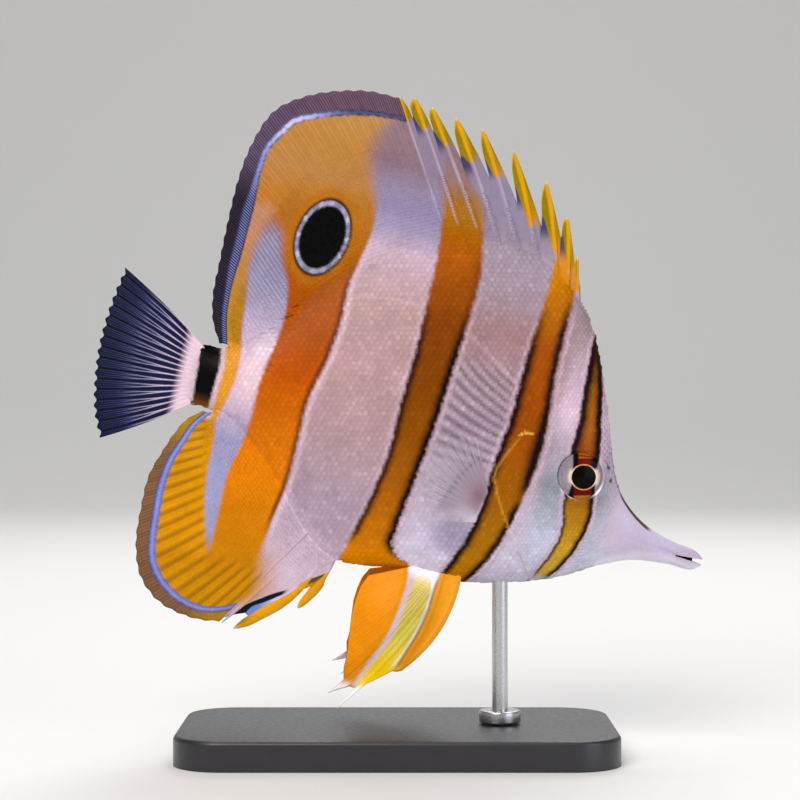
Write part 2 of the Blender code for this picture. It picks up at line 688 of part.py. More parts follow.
def pelvic_fin(name, side, material):
    """A pelvic fin: its outline turned out from the midline by the splay and back by the sweep."""
    splay_deg, sweep_deg = PELVIC_POSE[name.rsplit("_", 1)[1]]
    splay, seen = math.radians(splay_deg), math.radians(PELVIC_SEEN_SPLAY)
    sweep = Matrix.Rotation(math.radians(sweep_deg), 2)
    pivot = Vector((PELVIC_FORWARD_X, PELVIC_LINE_Z))
    grid, halves = [], []
    for root_x, margin, ridge, bow in PELVIC_COLUMNS:
        path = fin_path((root_x, PELVIC_LINE_Z + 1.0), margin, bow)
        column = []
        for point in path:
            x, z = pivot + sweep @ (Vector(point) - pivot)
            drop = (PELVIC_LINE_Z - z) / math.cos(seen)
            y = PELVIC_ROOT_Y + drop * math.sin(splay)
            column.append((x, side * y, PELVIC_LINE_Z - drop * math.cos(splay)))
        grid.append(column)
        tip_half = SPINE_TIP_HALF if ridge >= 0.45 else MARGIN_HALF
        halves.append([thickness(PELVIC_ROOT_HALF, tip_half, ridge, v) for v in FIN_ROWS])
    grid = np.array(grid)
    return fin_object(name, grid, sheet_normals(grid), halves, material)


def pectoral_fin(name, side, material):
    """A pectoral fin: rays fanned from a short root on the flank, turned out from the body."""
    count = 2 * PECTORAL_RAYS - 1
    shares = np.linspace(0, 1, count)
    roots = curve_through(PECTORAL_ROOT)(shares)
    lengths = height_along(PECTORAL_LENGTHS)
    out = math.tan(math.radians(PECTORAL_OUT_DEG))
    low, high = PECTORAL_FAN_DEG
    grid, halves = [], []
    for k, share in enumerate(shares):
        is_ray = k % 2 == 0
        turn = math.radians(low + share * (high - low))
        x, z = roots[k]
        y = flank_y(x, z)
        length = lengths(share) - (0.0 if is_ray else PECTORAL_SCALLOP)
        column = []
        for v in FIN_ROWS:
            reach = v * (length + PECTORAL_SINK) - PECTORAL_SINK
            lift = reach * out * (0.75 + 0.25 * v)
            column.append((x - reach * math.cos(turn), side * (y - 0.5 + lift), z - reach * math.sin(turn)))
        grid.append(column)
        ridge = PECTORAL_RIDGE if is_ray else 0.0
        halves.append([thickness(PECTORAL_ROOT_HALF, MARGIN_HALF, ridge, v) for v in FIN_ROWS])
    grid = np.array(grid)
    return fin_object(name, grid, sheet_normals(grid), halves, material)


# The stand

def make_base(material):
    """A flat plate with round corners, chamfered edges and a blind hole for the rod."""
    bm = bmesh.new()
    outline = []
    for cx, cz, start in ((1, 1, 0), (-1, 1, 90), (-1, -1, 180), (1, -1, 270)):
        for turn in range(0, 91, 15):
            a = math.radians(start + turn)
            x = cx * (BASE_LENGTH / 2 - BASE_CORNER) + BASE_CORNER * math.cos(a)
            y = cz * (BASE_DEPTH / 2 - BASE_CORNER) + BASE_CORNER * math.sin(a)
            outline.append(bm.verts.new((x * MM, y * MM, 0)))
    face = bm.faces.new(outline)
    top = bmesh.ops.extrude_face_region(bm, geom=[face])
    top_verts = [v for v in top["geom"] if isinstance(v, bmesh.types.BMVert)]
    bmesh.ops.translate(bm, verts=top_verts, vec=(0, 0, BASE_THICK * MM))
    bmesh.ops.recalc_face_normals(bm, faces=bm.faces)
    rims = [e for e in bm.edges if abs(e.verts[0].co.z - e.verts[1].co.z) < 1e-6 and e.verts[0].co.z > 1e-6]
    bmesh.ops.bevel(
        bm, geom=rims, offset=BASE_CHAMFER * MM, segments=2, profile=0.5, affect="EDGES", material=-1,
    )
    base = new_object("stand_base", bm, material)
    hole = cylinder("rod_hole", ROD_X, ROD_RADIUS + GAP, BASE_THICK - ROD_SINK - GAP, BASE_THICK + 5.0)
    return carve(base, as_helper(hole))


def cylinder(name, x, radius, z_low, z_high, material=None):
    bm = bmesh.new()
    height = (z_high - z_low) * MM
    bmesh.ops.create_cone(
        bm, cap_ends=True, segments=ROD_SIDES, radius1=radius * MM, radius2=radius * MM, depth=height,
    )
    bmesh.ops.translate(bm, verts=bm.verts, vec=(x * MM, 0, z_low * MM + height / 2))
    return new_object(name, bm, material)


def make_stand(grown_body, base_paint, rod_paint):
    base = make_base(base_paint)
    rod = cylinder("stand_rod", ROD_X, ROD_RADIUS, BASE_THICK - ROD_SINK, ROD_TOP, rod_paint)
    carve(rod, grown_body)
    low = BASE_THICK + GAP
    collar = cylinder("stand_collar", ROD_X, COLLAR_RADIUS, low, low + COLLAR_HEIGHT, rod_paint)
    carve(collar, as_helper(cylinder("collar_hole", ROD_X, ROD_RADIUS + GAP, 0.0, low + 2 * COLLAR_HEIGHT)))
    return [base, rod, collar]


def main():
    clear_scene()
    skin = paint("skin", (0.72, 0.64, 0.66), 0.4)
    fin = paint("fin", (0.80, 0.42, 0.04), 0.45)
    clear = paint("clear_fin", (0.45, 0.50, 0.68), 0.35)
    eye = paint("eye", (0.02, 0.015, 0.015), 0.08)
    base_paint = paint("stand_base", (0.045, 0.04, 0.04), 0.45)
    rod_paint = paint("stand_rod", (0.62, 0.62, 0.63), 0.25, 1.0)

    whole = make_body()
    grown_body = grown(whole, "grown_body", GAP)

    eyes = {name: make_eye("eye_" + name, side, eye) for name, side in (("right", -1), ("left", 1))}
    head, covers = make_head(whole, skin, eyes)
    trunk = copy_of(whole, "trunk")
    stalk = copy_of(whole, "tail_stalk")
    behind_stalk = [(x - CUT_REACH, z) for x, z in STALK_LINE]
    for part, rear, front in ((trunk, STALK_LINE, GILL_LINE), (stalk, behind_stalk, STALK_LINE)):
        part.data.materials.append(skin)
        carve(part, between(part.name + "_block", rear, front), "INTERSECT")
    jaws = [make_jaw(whole, "upper_jaw", 1, skin), make_jaw(whole, "lower_jaw", -1, skin)]

    spiny_back = spiny_columns(BACK_SPINES, BACK_NOTCHES, (0.9, -0.6), (-0.1, 0.0))
    soft_back = soft_columns(SOFT_BACK_ROOT, SOFT_BACK_MARGIN, SOFT_BACK_RAYS, -SOFT_BOW)
    soft_anal = soft_columns(SOFT_ANAL_ROOT, SOFT_ANAL_MARGIN, SOFT_ANAL_RAYS, SOFT_BOW)
    fins = [
        median_fin("back_fin_spines", spiny_back, FIN_ROOT_HALF, fin),
        median_fin("back_fin_soft", soft_back, FIN_ROOT_HALF, fin),
        anal_fin_spines(fin),
        median_fin("anal_fin_soft", soft_anal, FIN_ROOT_HALF, fin),
        median_fin("tail_fin", tail_columns(), TAIL_ROOT_HALF, clear, tail_swing),
    ]
    for side, side_name in ((-1, "right"), (1, "left")):
        fins.append(pelvic_fin("pelvic_fin_" + side_name, side, fin))
        fins.append(pectoral_fin("pectoral_fin_" + side_name, side, clear))
    for part in fins:
        carve(part, grown_body)

    fish = bpy.data.objects.new("fish_pose", None)
    bpy.context.scene.collection.objects.link(fish)
    fish.location = (FISH_X * MM, 0, FISH_Z * MM)
    fish.rotation_euler = (0, math.radians(PITCH_DEG), 0)
    for part in [head, trunk, stalk, grown_body, *covers.values(), *jaws, *eyes.values(), *fins]:
        part.parent = fish
        if not part.hide_render:
            shade(part)
    for part in make_stand(grown_body, base_paint, rod_paint):
        shade(part)
    for helper in [o for o in bpy.data.objects if o.type == "MESH" and o.hide_render]:
        bpy.data.objects.remove(helper)


main()
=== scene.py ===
# Copperband butterflyfish, life size, held head down on a plain display stand.
# Lengths are millimetres in the fish's own frame: x forward from the tail fin's base, z up and
# y to its left. toFrame() pitches them over the stand and turns them into the frame's metres.

import math

import bmesh
import bpy
import numpy as np
from mathutils import Matrix, Vector


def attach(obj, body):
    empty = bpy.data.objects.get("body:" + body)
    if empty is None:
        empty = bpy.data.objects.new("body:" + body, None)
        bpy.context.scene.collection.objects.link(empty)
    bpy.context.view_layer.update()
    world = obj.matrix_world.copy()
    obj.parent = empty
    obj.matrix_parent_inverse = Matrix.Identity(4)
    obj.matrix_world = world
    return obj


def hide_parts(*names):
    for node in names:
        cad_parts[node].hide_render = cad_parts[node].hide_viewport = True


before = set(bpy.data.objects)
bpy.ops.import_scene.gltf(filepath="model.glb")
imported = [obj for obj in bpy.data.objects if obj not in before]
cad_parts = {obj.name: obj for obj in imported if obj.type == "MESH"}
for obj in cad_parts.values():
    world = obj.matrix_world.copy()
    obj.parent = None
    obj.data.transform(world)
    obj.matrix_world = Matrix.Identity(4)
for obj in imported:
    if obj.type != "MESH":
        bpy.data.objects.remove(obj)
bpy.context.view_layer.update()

mm = 0.001
pose = {"pitchDeg": 14.0, "x": -48.1, "z": 90.6}
pitchTurn = math.radians(pose["pitchDeg"])
chance = np.random.default_rng(11)
sides = ((-1, "Right"), (1, "Left"))
circle = 2 * math.pi


# Small tools for numbers, curves and colours

def toFrame(points):
    x, y, z = np.asarray(points, float).T
    return np.stack([
        pose["x"] + x * math.cos(pitchTurn) + z * math.sin(pitchTurn),
        y,
        pose["z"] - x * math.sin(pitchTurn) + z * math.cos(pitchTurn),
    ], axis=1) * mm


def turned(dx, dz, turn):
    # an offset on axes that are turned by an angle
    return dx * math.cos(turn) + dz * math.sin(turn), -dx * math.sin(turn) + dz * math.cos(turn)


def rise(low, high, value):
    # 0 below low, 1 above high, smooth between
    share = np.clip((value - low) / (high - low), 0.0, 1.0)
    return share * share * (3.0 - 2.0 * share)


def bell(value, middle, width):
    # 1 at the middle, and near 0 two widths away
    return np.exp(-((value - middle) / width) ** 2)


def wave(phase):
    # 1 at whole numbers and 0 halfway between
    return 0.5 + 0.5 * np.cos(circle * phase)


def unit(vectors):
    return vectors / np.maximum(np.linalg.norm(vectors, axis=-1, keepdims=True), 1e-9)


def runAlong(points):
    # the length from the first point to each of the others
    return np.concatenate([[0.0], np.cumsum(np.linalg.norm(np.diff(points, axis=0), axis=1))])


def curveThrough(points):
    # a smooth curve as a function of the share of its length
    points = np.array(points, float)
    along = runAlong(points)
    slopes = np.gradient(points, along, axis=0)

    def at(share):
        s = np.clip(np.asarray(share, float), 0.0, 1.0) * along[-1]
        i = np.clip(np.searchsorted(along, s, side="right") - 1, 0, len(along) - 2)
        step = along[i + 1] - along[i]
        t = ((s - along[i]) / step)[..., None]
        step = step[..., None]
        return (
            (2 * t**3 - 3 * t**2 + 1) * points[i]
            + (t**3 - 2 * t**2 + t) * step * slopes[i]
            + (3 * t**2 - 2 * t**3) * points[i + 1]
            + (t**3 - t**2) * step * slopes[i + 1]
        )

    return at


def heightAlong(points):
    # the curve's z as a function of x
    dense = curveThrough(points)(np.linspace(0, 1, 500))
    return lambda x: np.interp(x, dense[:, 0], dense[:, 1])


def edgeDown(points):
    # an edge that runs down the flank: its x as a function of z
    dense = curveThrough(points)(np.linspace(0, 1, 500))[::-1]
    return lambda z: np.interp(z, dense[:, 1], dense[:, 0])


def distanceTo(points, x, z, steps=90):
    # distance to a line, the share of its length at the nearest place, and 1 on its right side
    dense = curveThrough(points)(np.linspace(0, 1, steps))
    best, share, right = np.full(np.shape(x), 1e9), np.zeros(np.shape(x)), np.zeros(np.shape(x))
    for i, (a, b) in enumerate(zip(dense, dense[1:])):
        d = b - a
        t = np.clip(((x - a[0]) * d[0] + (z - a[1]) * d[1]) / (d @ d + 1e-12), 0, 1)
        away = np.hypot(x - a[0] - t * d[0], z - a[1] - t * d[1])
        nearer = away < best
        share = np.where(nearer, (i + t) / (len(dense) - 1), share)
        turn = d[1] * (x - a[0]) - d[0] * (z - a[1])
        right = np.where(nearer, turn / np.linalg.norm(d), right)
        best = np.minimum(best, away)
    return best, share, rise(-0.3, 0.3, right)


def linear(hexColour):
    # sRGB hex to linear light
    parts = np.array([int(hexColour[i:i + 2], 16) for i in (1, 3, 5)]) / 255.0
    return np.where(parts <= 0.04045, parts / 12.92, ((parts + 0.055) / 1.055) ** 2.4)


def lay(under, over, cover):
    # paint one colour over another where cover is 1
    if isinstance(over, str):
        over = linear(over)
    return under + (over - under) * np.clip(cover, 0, 1)[..., None]


def layAll(colour, *coats):
    # (colour, cover) pairs, one over the other
    for over, cover in coats:
        colour = lay(colour, over, cover)
    return colour


def plain(like, hexColour):
    # one colour for every place of an array
    return np.ones((*np.shape(like), 3)) * linear(hexColour)


def shadeAlong(value, stops):
    # a colour that runs through (value, hex) stops
    at = [stop[0] for stop in stops]
    colours = np.array([linear(stop[1]) for stop in stops])
    return np.stack([np.interp(value, at, colours[:, k]) for k in range(3)], axis=-1)


# The body's shape, as the solids have it

body = {
    "back": [
        (-1.0, 7.4), (4.4, 7.4), (8.3, 10.2), (12.6, 14.2), (16.5, 19.4), (21.4, 26.4), (28.3, 33.5),
        (37.7, 40.3), (50.0, 46.4), (57.9, 48.6), (66.0, 49.2), (71.6, 48.3), (77.6, 45.6), (83.8, 40.6),
        (89.1, 34.2), (92.3, 28.5), (94.8, 22.8), (97.2, 17.0), (99.5, 11.0), (101.6, 4.8), (103.5, 0.4),
        (105.6, -2.9), (109.5, -6.6), (113.9, -9.2), (121.3, -11.3), (127.0, -12.4), (128.3, -13.4),
    ],
    "belly": [
        (-1.0, -7.2), (4.0, -6.8), (9.3, -8.2), (16.1, -12.5), (23.3, -18.9), (29.5, -25.6), (34.7, -30.8),
        (40.0, -34.0), (46.5, -34.7), (57.2, -33.3), (68.4, -33.4), (77.9, -31.8), (87.2, -29.2),
        (96.2, -25.7), (104.9, -20.8), (111.3, -18.0), (120.4, -16.7), (127.0, -16.3), (128.3, -15.2),
    ],
    "halfWidth": [
        (-1.0, 1.7), (4.0, 2.5), (10.0, 3.5), (20.0, 5.3), (35.0, 7.6), (50.0, 8.9), (65.0, 9.6),
        (78.0, 9.6), (88.0, 8.7), (96.0, 7.1), (102.0, 5.5), (108.0, 4.0), (114.0, 3.0), (121.0, 2.3),
        (126.5, 1.8), (128.3, 1.0),
    ],
    "widestAt": [
        (-1.0, 0.0), (20.0, 2.0), (45.0, 0.0), (65.0, -2.0), (80.0, -4.0), (96.0, -6.0), (105.0, -10.5),
        (114.0, -13.4), (128.3, -14.3),
    ],
    "backSharpness": [
        (-1.0, 1.1), (12.0, 1.5), (40.0, 1.7), (70.0, 1.6), (90.0, 1.2), (104.0, 1.0), (128.3, 0.9),
    ],
    "bellySharpness": [(-1.0, 1.1), (12.0, 1.5), (34.0, 1.6), (50.0, 1.15), (90.0, 1.0), (128.3, 0.9)],
    "ridge": 0.25,       # half the width left at the very back and belly
    "coatDepth": 0.16,   # how far the skin lies inside the scales
    "bareDepth": 0.06,   # and inside the solids on the snout, which has none
    "rear": -1.0, "front": 128.3,
    "stations": 300, "ring": 124,
}
backAt = heightAlong(body["back"])
bellyAt = heightAlong(body["belly"])
halfWidthAt = heightAlong(body["halfWidth"])
widestAt = heightAlong(body["widestAt"])
backSharpnessAt = heightAlong(body["backSharpness"])
bellySharpnessAt = heightAlong(body["bellySharpness"])

head = {
    "eye": (94.7, -1.1), "eyeRadius": 5.7, "eyeFaceY": 8.2, "eyeDome": 1.7, "socketDepth": 1.9,
    "eyeForwardDeg": 11.0, "eyeUpDeg": 3.0,
    "nostrils": [(100.9, 2.4), (102.2, -0.6)],
    "gillEdge": [
        (88.0, 60.0), (86.8, 39.0), (86.2, 32.0), (85.0, 21.1), (82.2, 11.9), (78.6, 5.0), (76.0, -0.7),
        (74.5, -5.2), (76.0, -9.6), (79.6, -15.4), (83.6, -21.0), (87.8, -26.1), (91.5, -34.0),
        (92.0, -60.0),
    ],
    "cheekGroove": [
        (79.6, 8.6), (84.0, 6.6), (86.2, 3.0), (87.1, -2.0), (88.0, -7.5), (89.8, -12.5), (90.2, -17.6),
        (88.4, -23.6),
    ],
    "gillHook": [(78.2, 4.9), (79.5, 5.6), (81.0, 5.7)],
    "mouthLevel": -14.2, "mouthCornerX": 121.6, "mouthCornerHalf": 0.12, "mouthOpen": 1.15,
    "mouthEndX": 126.0,
    "lipGroove": [(122.0, -13.9), (117.0, -13.2), (111.2, -12.7)],
    "pectoralBase": (73.6, -14.1),
}
gillEdgeAt = edgeDown(head["gillEdge"])


def fromEye(x, z):
    return np.hypot(x - head["eye"][0], z - head["eye"][1])


def flankY(x, z):
    # half the body's width at a point of its side
    widest = widestAt(x)
    upper = z > widest
    reach = np.where(upper, backAt(x) - widest, widest - bellyAt(x))
    share = np.clip(np.abs(z - widest) / np.maximum(reach, 1e-6), 0, 1)
    sharp = np.where(upper, backSharpnessAt(x), bellySharpnessAt(x))
    return body["ridge"] + halfWidthAt(x) * (1 - share**2) ** (sharp / 2)


def mouthHalf(x):
    # half the opening between the jaws
    corner, atCorner = head["mouthCornerX"], head["mouthCornerHalf"]
    share = np.clip((x - corner) / (body["front"] - corner), 0, 1)
    return atCorner + share * (head["mouthOpen"] / 2 - atCorner)


def relief(x, z):
    # how far the skin's own forms stand out of the plain body
    out = np.zeros(np.shape(x))
    behindEdge = x - gillEdgeAt(z)
    onCover = rise(-0.18, 0.12, behindEdge) * (1 - rise(3.0, 10.0, behindEdge))
    out += 0.42 * onCover * rise(-28.5, -25.5, z) * (1 - rise(4.0, 9.0, z))
    groove, share, _ = distanceTo(head["cheekGroove"], x, z)
    out -= 0.1 * bell(groove, 0, 1.1) * rise(0.0, 0.1, share) * (1 - rise(0.9, 1.0, share))
    out += 0.1 * bell(fromEye(x, z), 6.2, 0.5)
    for nostril in head["nostrils"]:
        away = np.hypot(x - nostril[0], z - nostril[1])
        out += 0.14 * bell(away, 0.72, 0.26) - 0.6 * bell(away, 0, 0.42)
    groove, share, _ = distanceTo(head["lipGroove"], x, z)
    out -= 0.09 * bell(groove, 0, 0.4) * (1 - rise(0.3, 1.0, share))
    for offset, depth in ((0.0, 0.35), (2.4, 0.16)):
        # folds of the throat, where the gill covers meet below
        fold = z - bellyAt(x) - 1.6 - offset
        out -= depth * 0.4 * bell(fold, 0, 0.35) * rise(88.0, 93.0, x) * (1 - rise(104.0, 110.0, x))
    lateral, _, _ = distanceTo(markings["lateralLine"], x, z)
    out += 0.06 * bell(lateral, 0, 0.5)
    lobe = np.hypot((x - head["pectoralBase"][0]) / 1.7, (z - head["pectoralBase"][1]) / 4.2)
    out += 0.4 * (1 - rise(0.35, 1.05, lobe))
    return out


# Markings: the edges of the bands down the flank, in the fish's frame

markings = {
    "eyeBandRear": [
        (90.6, 36.0), (90.2, 29.8), (90.4, 21.4), (90.6, 16.6), (91.1, 11.7), (90.9, 5.9), (91.6, -2.7),
        (92.4, -9.8), (93.2, -13.2), (93.1, -17.2), (91.4, -22.6), (89.2, -27.6),
    ],
    "eyeBandFront": [
        (92.0, 36.0), (92.6, 29.8), (94.6, 22.1), (95.6, 17.5), (96.4, 12.8), (97.4, 8.2), (98.0, 3.4),
        (98.4, -1.3), (99.0, -6.0), (99.4, -10.9), (98.5, -16.0), (96.6, -21.4), (92.8, -27.6),
    ],
    "frontBandRear": [
        (76.4, 52.0), (76.8, 42.5), (76.5, 37.4), (76.2, 32.3), (75.7, 27.3), (75.3, 17.4), (75.1, 7.6),
        (73.9, -2.4), (73.4, -12.2), (71.7, -22.5), (69.7, -28.0), (67.4, -34.5),
    ],
    "frontBandFront": [
        (80.6, 52.0), (83.2, 44.2), (83.1, 36.0), (82.9, 29.1), (83.0, 19.3), (83.8, 9.8), (84.0, 5.0),
        (83.3, -4.9), (82.4, -10.0), (80.2, -20.3), (78.2, -25.8), (73.9, -33.5),
    ],
    "midBandRear": [
        (45.3, 66.5), (46.2, 59.7), (48.1, 50.3), (49.2, 40.5), (49.4, 30.5), (49.6, 18.0), (49.2, 6.1),
        (49.0, -8.6), (47.4, -18.8), (45.6, -27.0), (43.6, -35.5),
    ],
    "midBandFront": [
        (49.7, 66.5), (52.3, 61.2), (56.2, 57.3), (58.8, 48.0), (60.3, 38.3), (60.0, 28.3), (59.2, 15.9),
        (58.4, 3.5), (56.8, -11.5), (55.4, -24.0), (55.2, -28.0), (57.0, -30.3), (60.4, -31.6),
        (62.5, -36.0),
    ],
    "rearBandFront": [
        (32.5, 77.0), (30.9, 72.7), (28.3, 66.5), (28.0, 60.1), (29.7, 55.6), (31.6, 51.1), (32.5, 44.0),
        (31.3, 36.2), (30.3, 30.0), (30.6, 21.0), (29.7, 11.0), (27.6, 0.6), (27.6, -9.1), (27.4, -19.1),
        (25.9, -29.8), (25.5, -34.1), (25.5, -39.1), (26.0, -42.5), (26.5, -45.9), (25.6, -48.6),
        (22.4, -51.6), (18.0, -54.5),
    ],
    "wedgeRear": [
        (8.6, 43.0), (6.4, 35.0), (5.9, 29.9), (7.1, 20.3), (8.0, 13.0), (9.3, 6.0), (9.3, 1.2),
        (8.5, -3.9),
        (7.1, -9.4), (7.8, -14.2), (8.1, -22.0), (9.2, -28.7), (11.7, -37.9), (13.0, -42.0),
    ],
    "wedgeFront": [
        (8.6, 43.0), (11.2, 38.6), (13.2, 31.7), (15.5, 27.3), (17.1, 20.0), (16.8, 12.7), (15.4, 3.5),
        (15.2, -7.3), (14.6, -13.0), (13.1, -20.0), (13.1, -32.6), (13.3, -42.0),
    ],
    "lateralLine": [
        (80.4, 12.4), (76.9, 15.1), (70.0, 19.2), (59.2, 25.6), (51.9, 27.9), (43.0, 28.9), (33.6, 27.4),
        (20.4, 20.0), (14.0, 11.0),
    ],
    "backBlue": [
        (50.5, 69.5), (40.0, 71.6), (31.4, 71.5), (24.0, 70.7), (16.9, 68.8), (12.4, 67.1), (8.1, 64.8),
        (5.4, 60.9), (3.3, 57.0), (2.6, 52.0), (2.5, 46.0), (2.3, 40.9), (2.3, 33.9), (2.2, 24.0),
        (3.2, 14.4), (5.0, 8.0),
    ],
    "analBlue": [
        (5.4, -7.4), (2.2, -11.8), (0.5, -16.4), (-1.1, -21.3), (-1.8, -28.4), (-1.4, -34.5), (-0.7, -41.0),
        (0.6, -45.9), (3.9, -50.0), (9.0, -53.1), (14.3, -54.1), (18.5, -53.3), (22.6, -51.4),
        (27.5, -48.0),
    ],
    "stalkBarRear": [(-1.6, 9.4), (-0.2, 3.6), (0.2, -1.2), (0.7, -8.0)],
    "stalkBarFront": [(3.7, 9.4), (5.0, 3.6), (4.9, -1.2), (4.6, -8.0)],
    "ocellus": (21.3, 39.3), "ocellusHalf": (5.25, 7.8), "ocellusLeanDeg": -8.0,
}
ink = {
    # ramps of (height or place along the fish, colour)
    "ground": [
        (-40, "#d5bbcc"), (-25, "#baa3b7"), (-7, "#b6989f"), (10, "#bf9a9c"), (27, "#bc9999"),
        (36, "#c3a6b2"),
        (40, "#ccb0c0"), (43, "#b3a0b8"), (46, "#9b90b0"), (51, "#8f84a8"), (55, "#9183a0"),
        (61, "#856c7b"),
    ],
    "frontGround": [
        (-36, "#f4eafb"), (-28, "#e2d8f2"), (-15, "#cebed3"), (4, "#a7909c"), (27, "#a68084"),
        (37, "#a48f9c"), (46, "#a695a3"), (50, "#96879a"),
        (60, "#847f9c"),
    ],
    "headGround": [
        (-30, "#dfd9ed"), (-19, "#d1d2e8"), (-5, "#8d909b"), (4, "#b7a9b8"), (13, "#e6c9dc"),
        (22, "#c9aebd"), (32, "#a89195"),
    ],
    "snout": [(100, "#c4b0be"), (108, "#c2b3cc"), (118, "#bcb3ce"), (125, "#b5a8c0"), (128.3, "#bcabbb")],
    "rearOrange": [
        (-49, "#cc8b00"), (-35, "#cc7c00"), (-18, "#e98200"), (6, "#bf5300"), (16, "#af4f00"),
        (24, "#a74e00"), (36, "#ae5e05"),
        (48, "#b27224"), (54, "#b37d43"), (62, "#b37c38"), (72, "#b58648"),
    ],
    "midOrange": [
        (-33, "#f59400"), (-26, "#d37900"), (-13, "#aa5f00"), (6.7, "#874600"), (26, "#863f00"),
        (43.7, "#b05900"),
        (52, "#a56a06"), (64, "#8f6517"),
    ],
    "frontOrange": [
        (-34, "#d78e03"), (-25, "#b97a02"), (-14, "#a66400"), (8.7, "#a24b00"), (26, "#a65000"),
        (41, "#c77a00"),
        (47, "#d98b05"),
    ],
    "eyeOrange": [
        (-28, "#e3bd4e"), (-20, "#d6a52d"), (-10, "#b3780e"), (-4, "#7e4805"), (4, "#9c4a04"),
        (12, "#b9670a"),
        (20, "#b36c0c"), (30, "#9e6d24"),
    ],
    "wedge": [
        (-42, "#8f879e"), (-28, "#9fa2c9"), (-14, "#9b97c0"), (-6, "#cfb9cf"), (3, "#f0c5d0"),
        (14, "#bca8c2"),
        (24, "#8a86a8"), (42, "#6f6a8c"),
    ],
    "strip": [
        (6, "#b57f18"), (18, "#b07c14"), (28, "#b27b40"), (40, "#b78066"), (50, "#c28c6c"), (60, "#c28a55"),
    ],
    "analGold": [(-54, "#cf9b02"), (-40, "#da9200"), (-20, "#d49100"), (-8, "#cc8e16")],
    "dark": "#190507", "darkBrown": "#3c1a06", "paleEdge": "#d6b7ca", "black": "#030203",
    "stalkYellow": "#e59c2e", "stalkPale": "#dcbcc6", "ring": "#807a98", "ringEdge": "#32200e",
    "backBlue": "#7885c8", "backBlueDeep": "#4d4f6e", "analBlue": "#767ac0",
    "backRim": "#4f3449", "backRimRear": "#3a3152", "analRim": "#7b542c",
    "tailBase": "#dcc4d2", "tailDeep": "#16183a", "tailRay": "#b9b6e0",
    "flame": "#cf9a0a", "flameGreen": "#8c7404", "slate": "#33375c", "spine": "#b9adc2",
}


def edgeX(name, z):
    # how far forward an edge of the markings lies at a height
    return edgeDown(markings[name])(z)


def unevenness(z, start):
    # how an edge wavers down the flank
    waves = ((0.08, 1.3), (0.05, 2.9), (0.03, 5.3))
    return sum(size * np.sin(rate * z + start * (k + 1)) for k, (size, rate) in enumerate(waves))


def bandOver(colour, x, z, name, darkRear, darkFront, soft, widths, border=0.75):
    # one band, with its dark edges and the thin pale border outside them
    rear = edgeX(name + "Rear", z) + unevenness(z, len(name + "Rear"))
    front = edgeX(name + "Front", z) + unevenness(z, 2.0 + len(name + "Front"))
    fromRear, fromFront = x - rear, front - x
    inside = rise(-soft, soft, np.minimum(fromRear, fromFront))
    for away, strength, gap in ((fromRear, darkRear, 0.65), (fromFront, darkFront, border)):
        colour = lay(colour, ink["paleEdge"], 0.75 * bell(away, -gap, 0.42) * strength * (inside < 0.5))
    colour = lay(colour, shadeAlong(z, ink[name[:-4] + "Orange"]), inside)
    for away, strength, width in ((fromRear, darkRear, widths[0]), (fromFront, darkFront, widths[1])):
        glow = inside * (1 - rise(width, width * 2.2, away))
        edge = inside * (1 - rise(width * 0.7, width * 1.3, away))
        colour = layAll(colour, (ink["darkBrown"], 0.6 * glow * strength), (ink["dark"], edge * strength))
    return colour, inside


def ocellusRadius(x, z):
    # 1 on the black oval's edge
    middle, half = markings["ocellus"], markings["ocellusHalf"]
    across, up = turned(x - middle[0], z - middle[1], math.radians(markings["ocellusLeanDeg"]))
    return np.hypot(across / half[0], up / half[1])


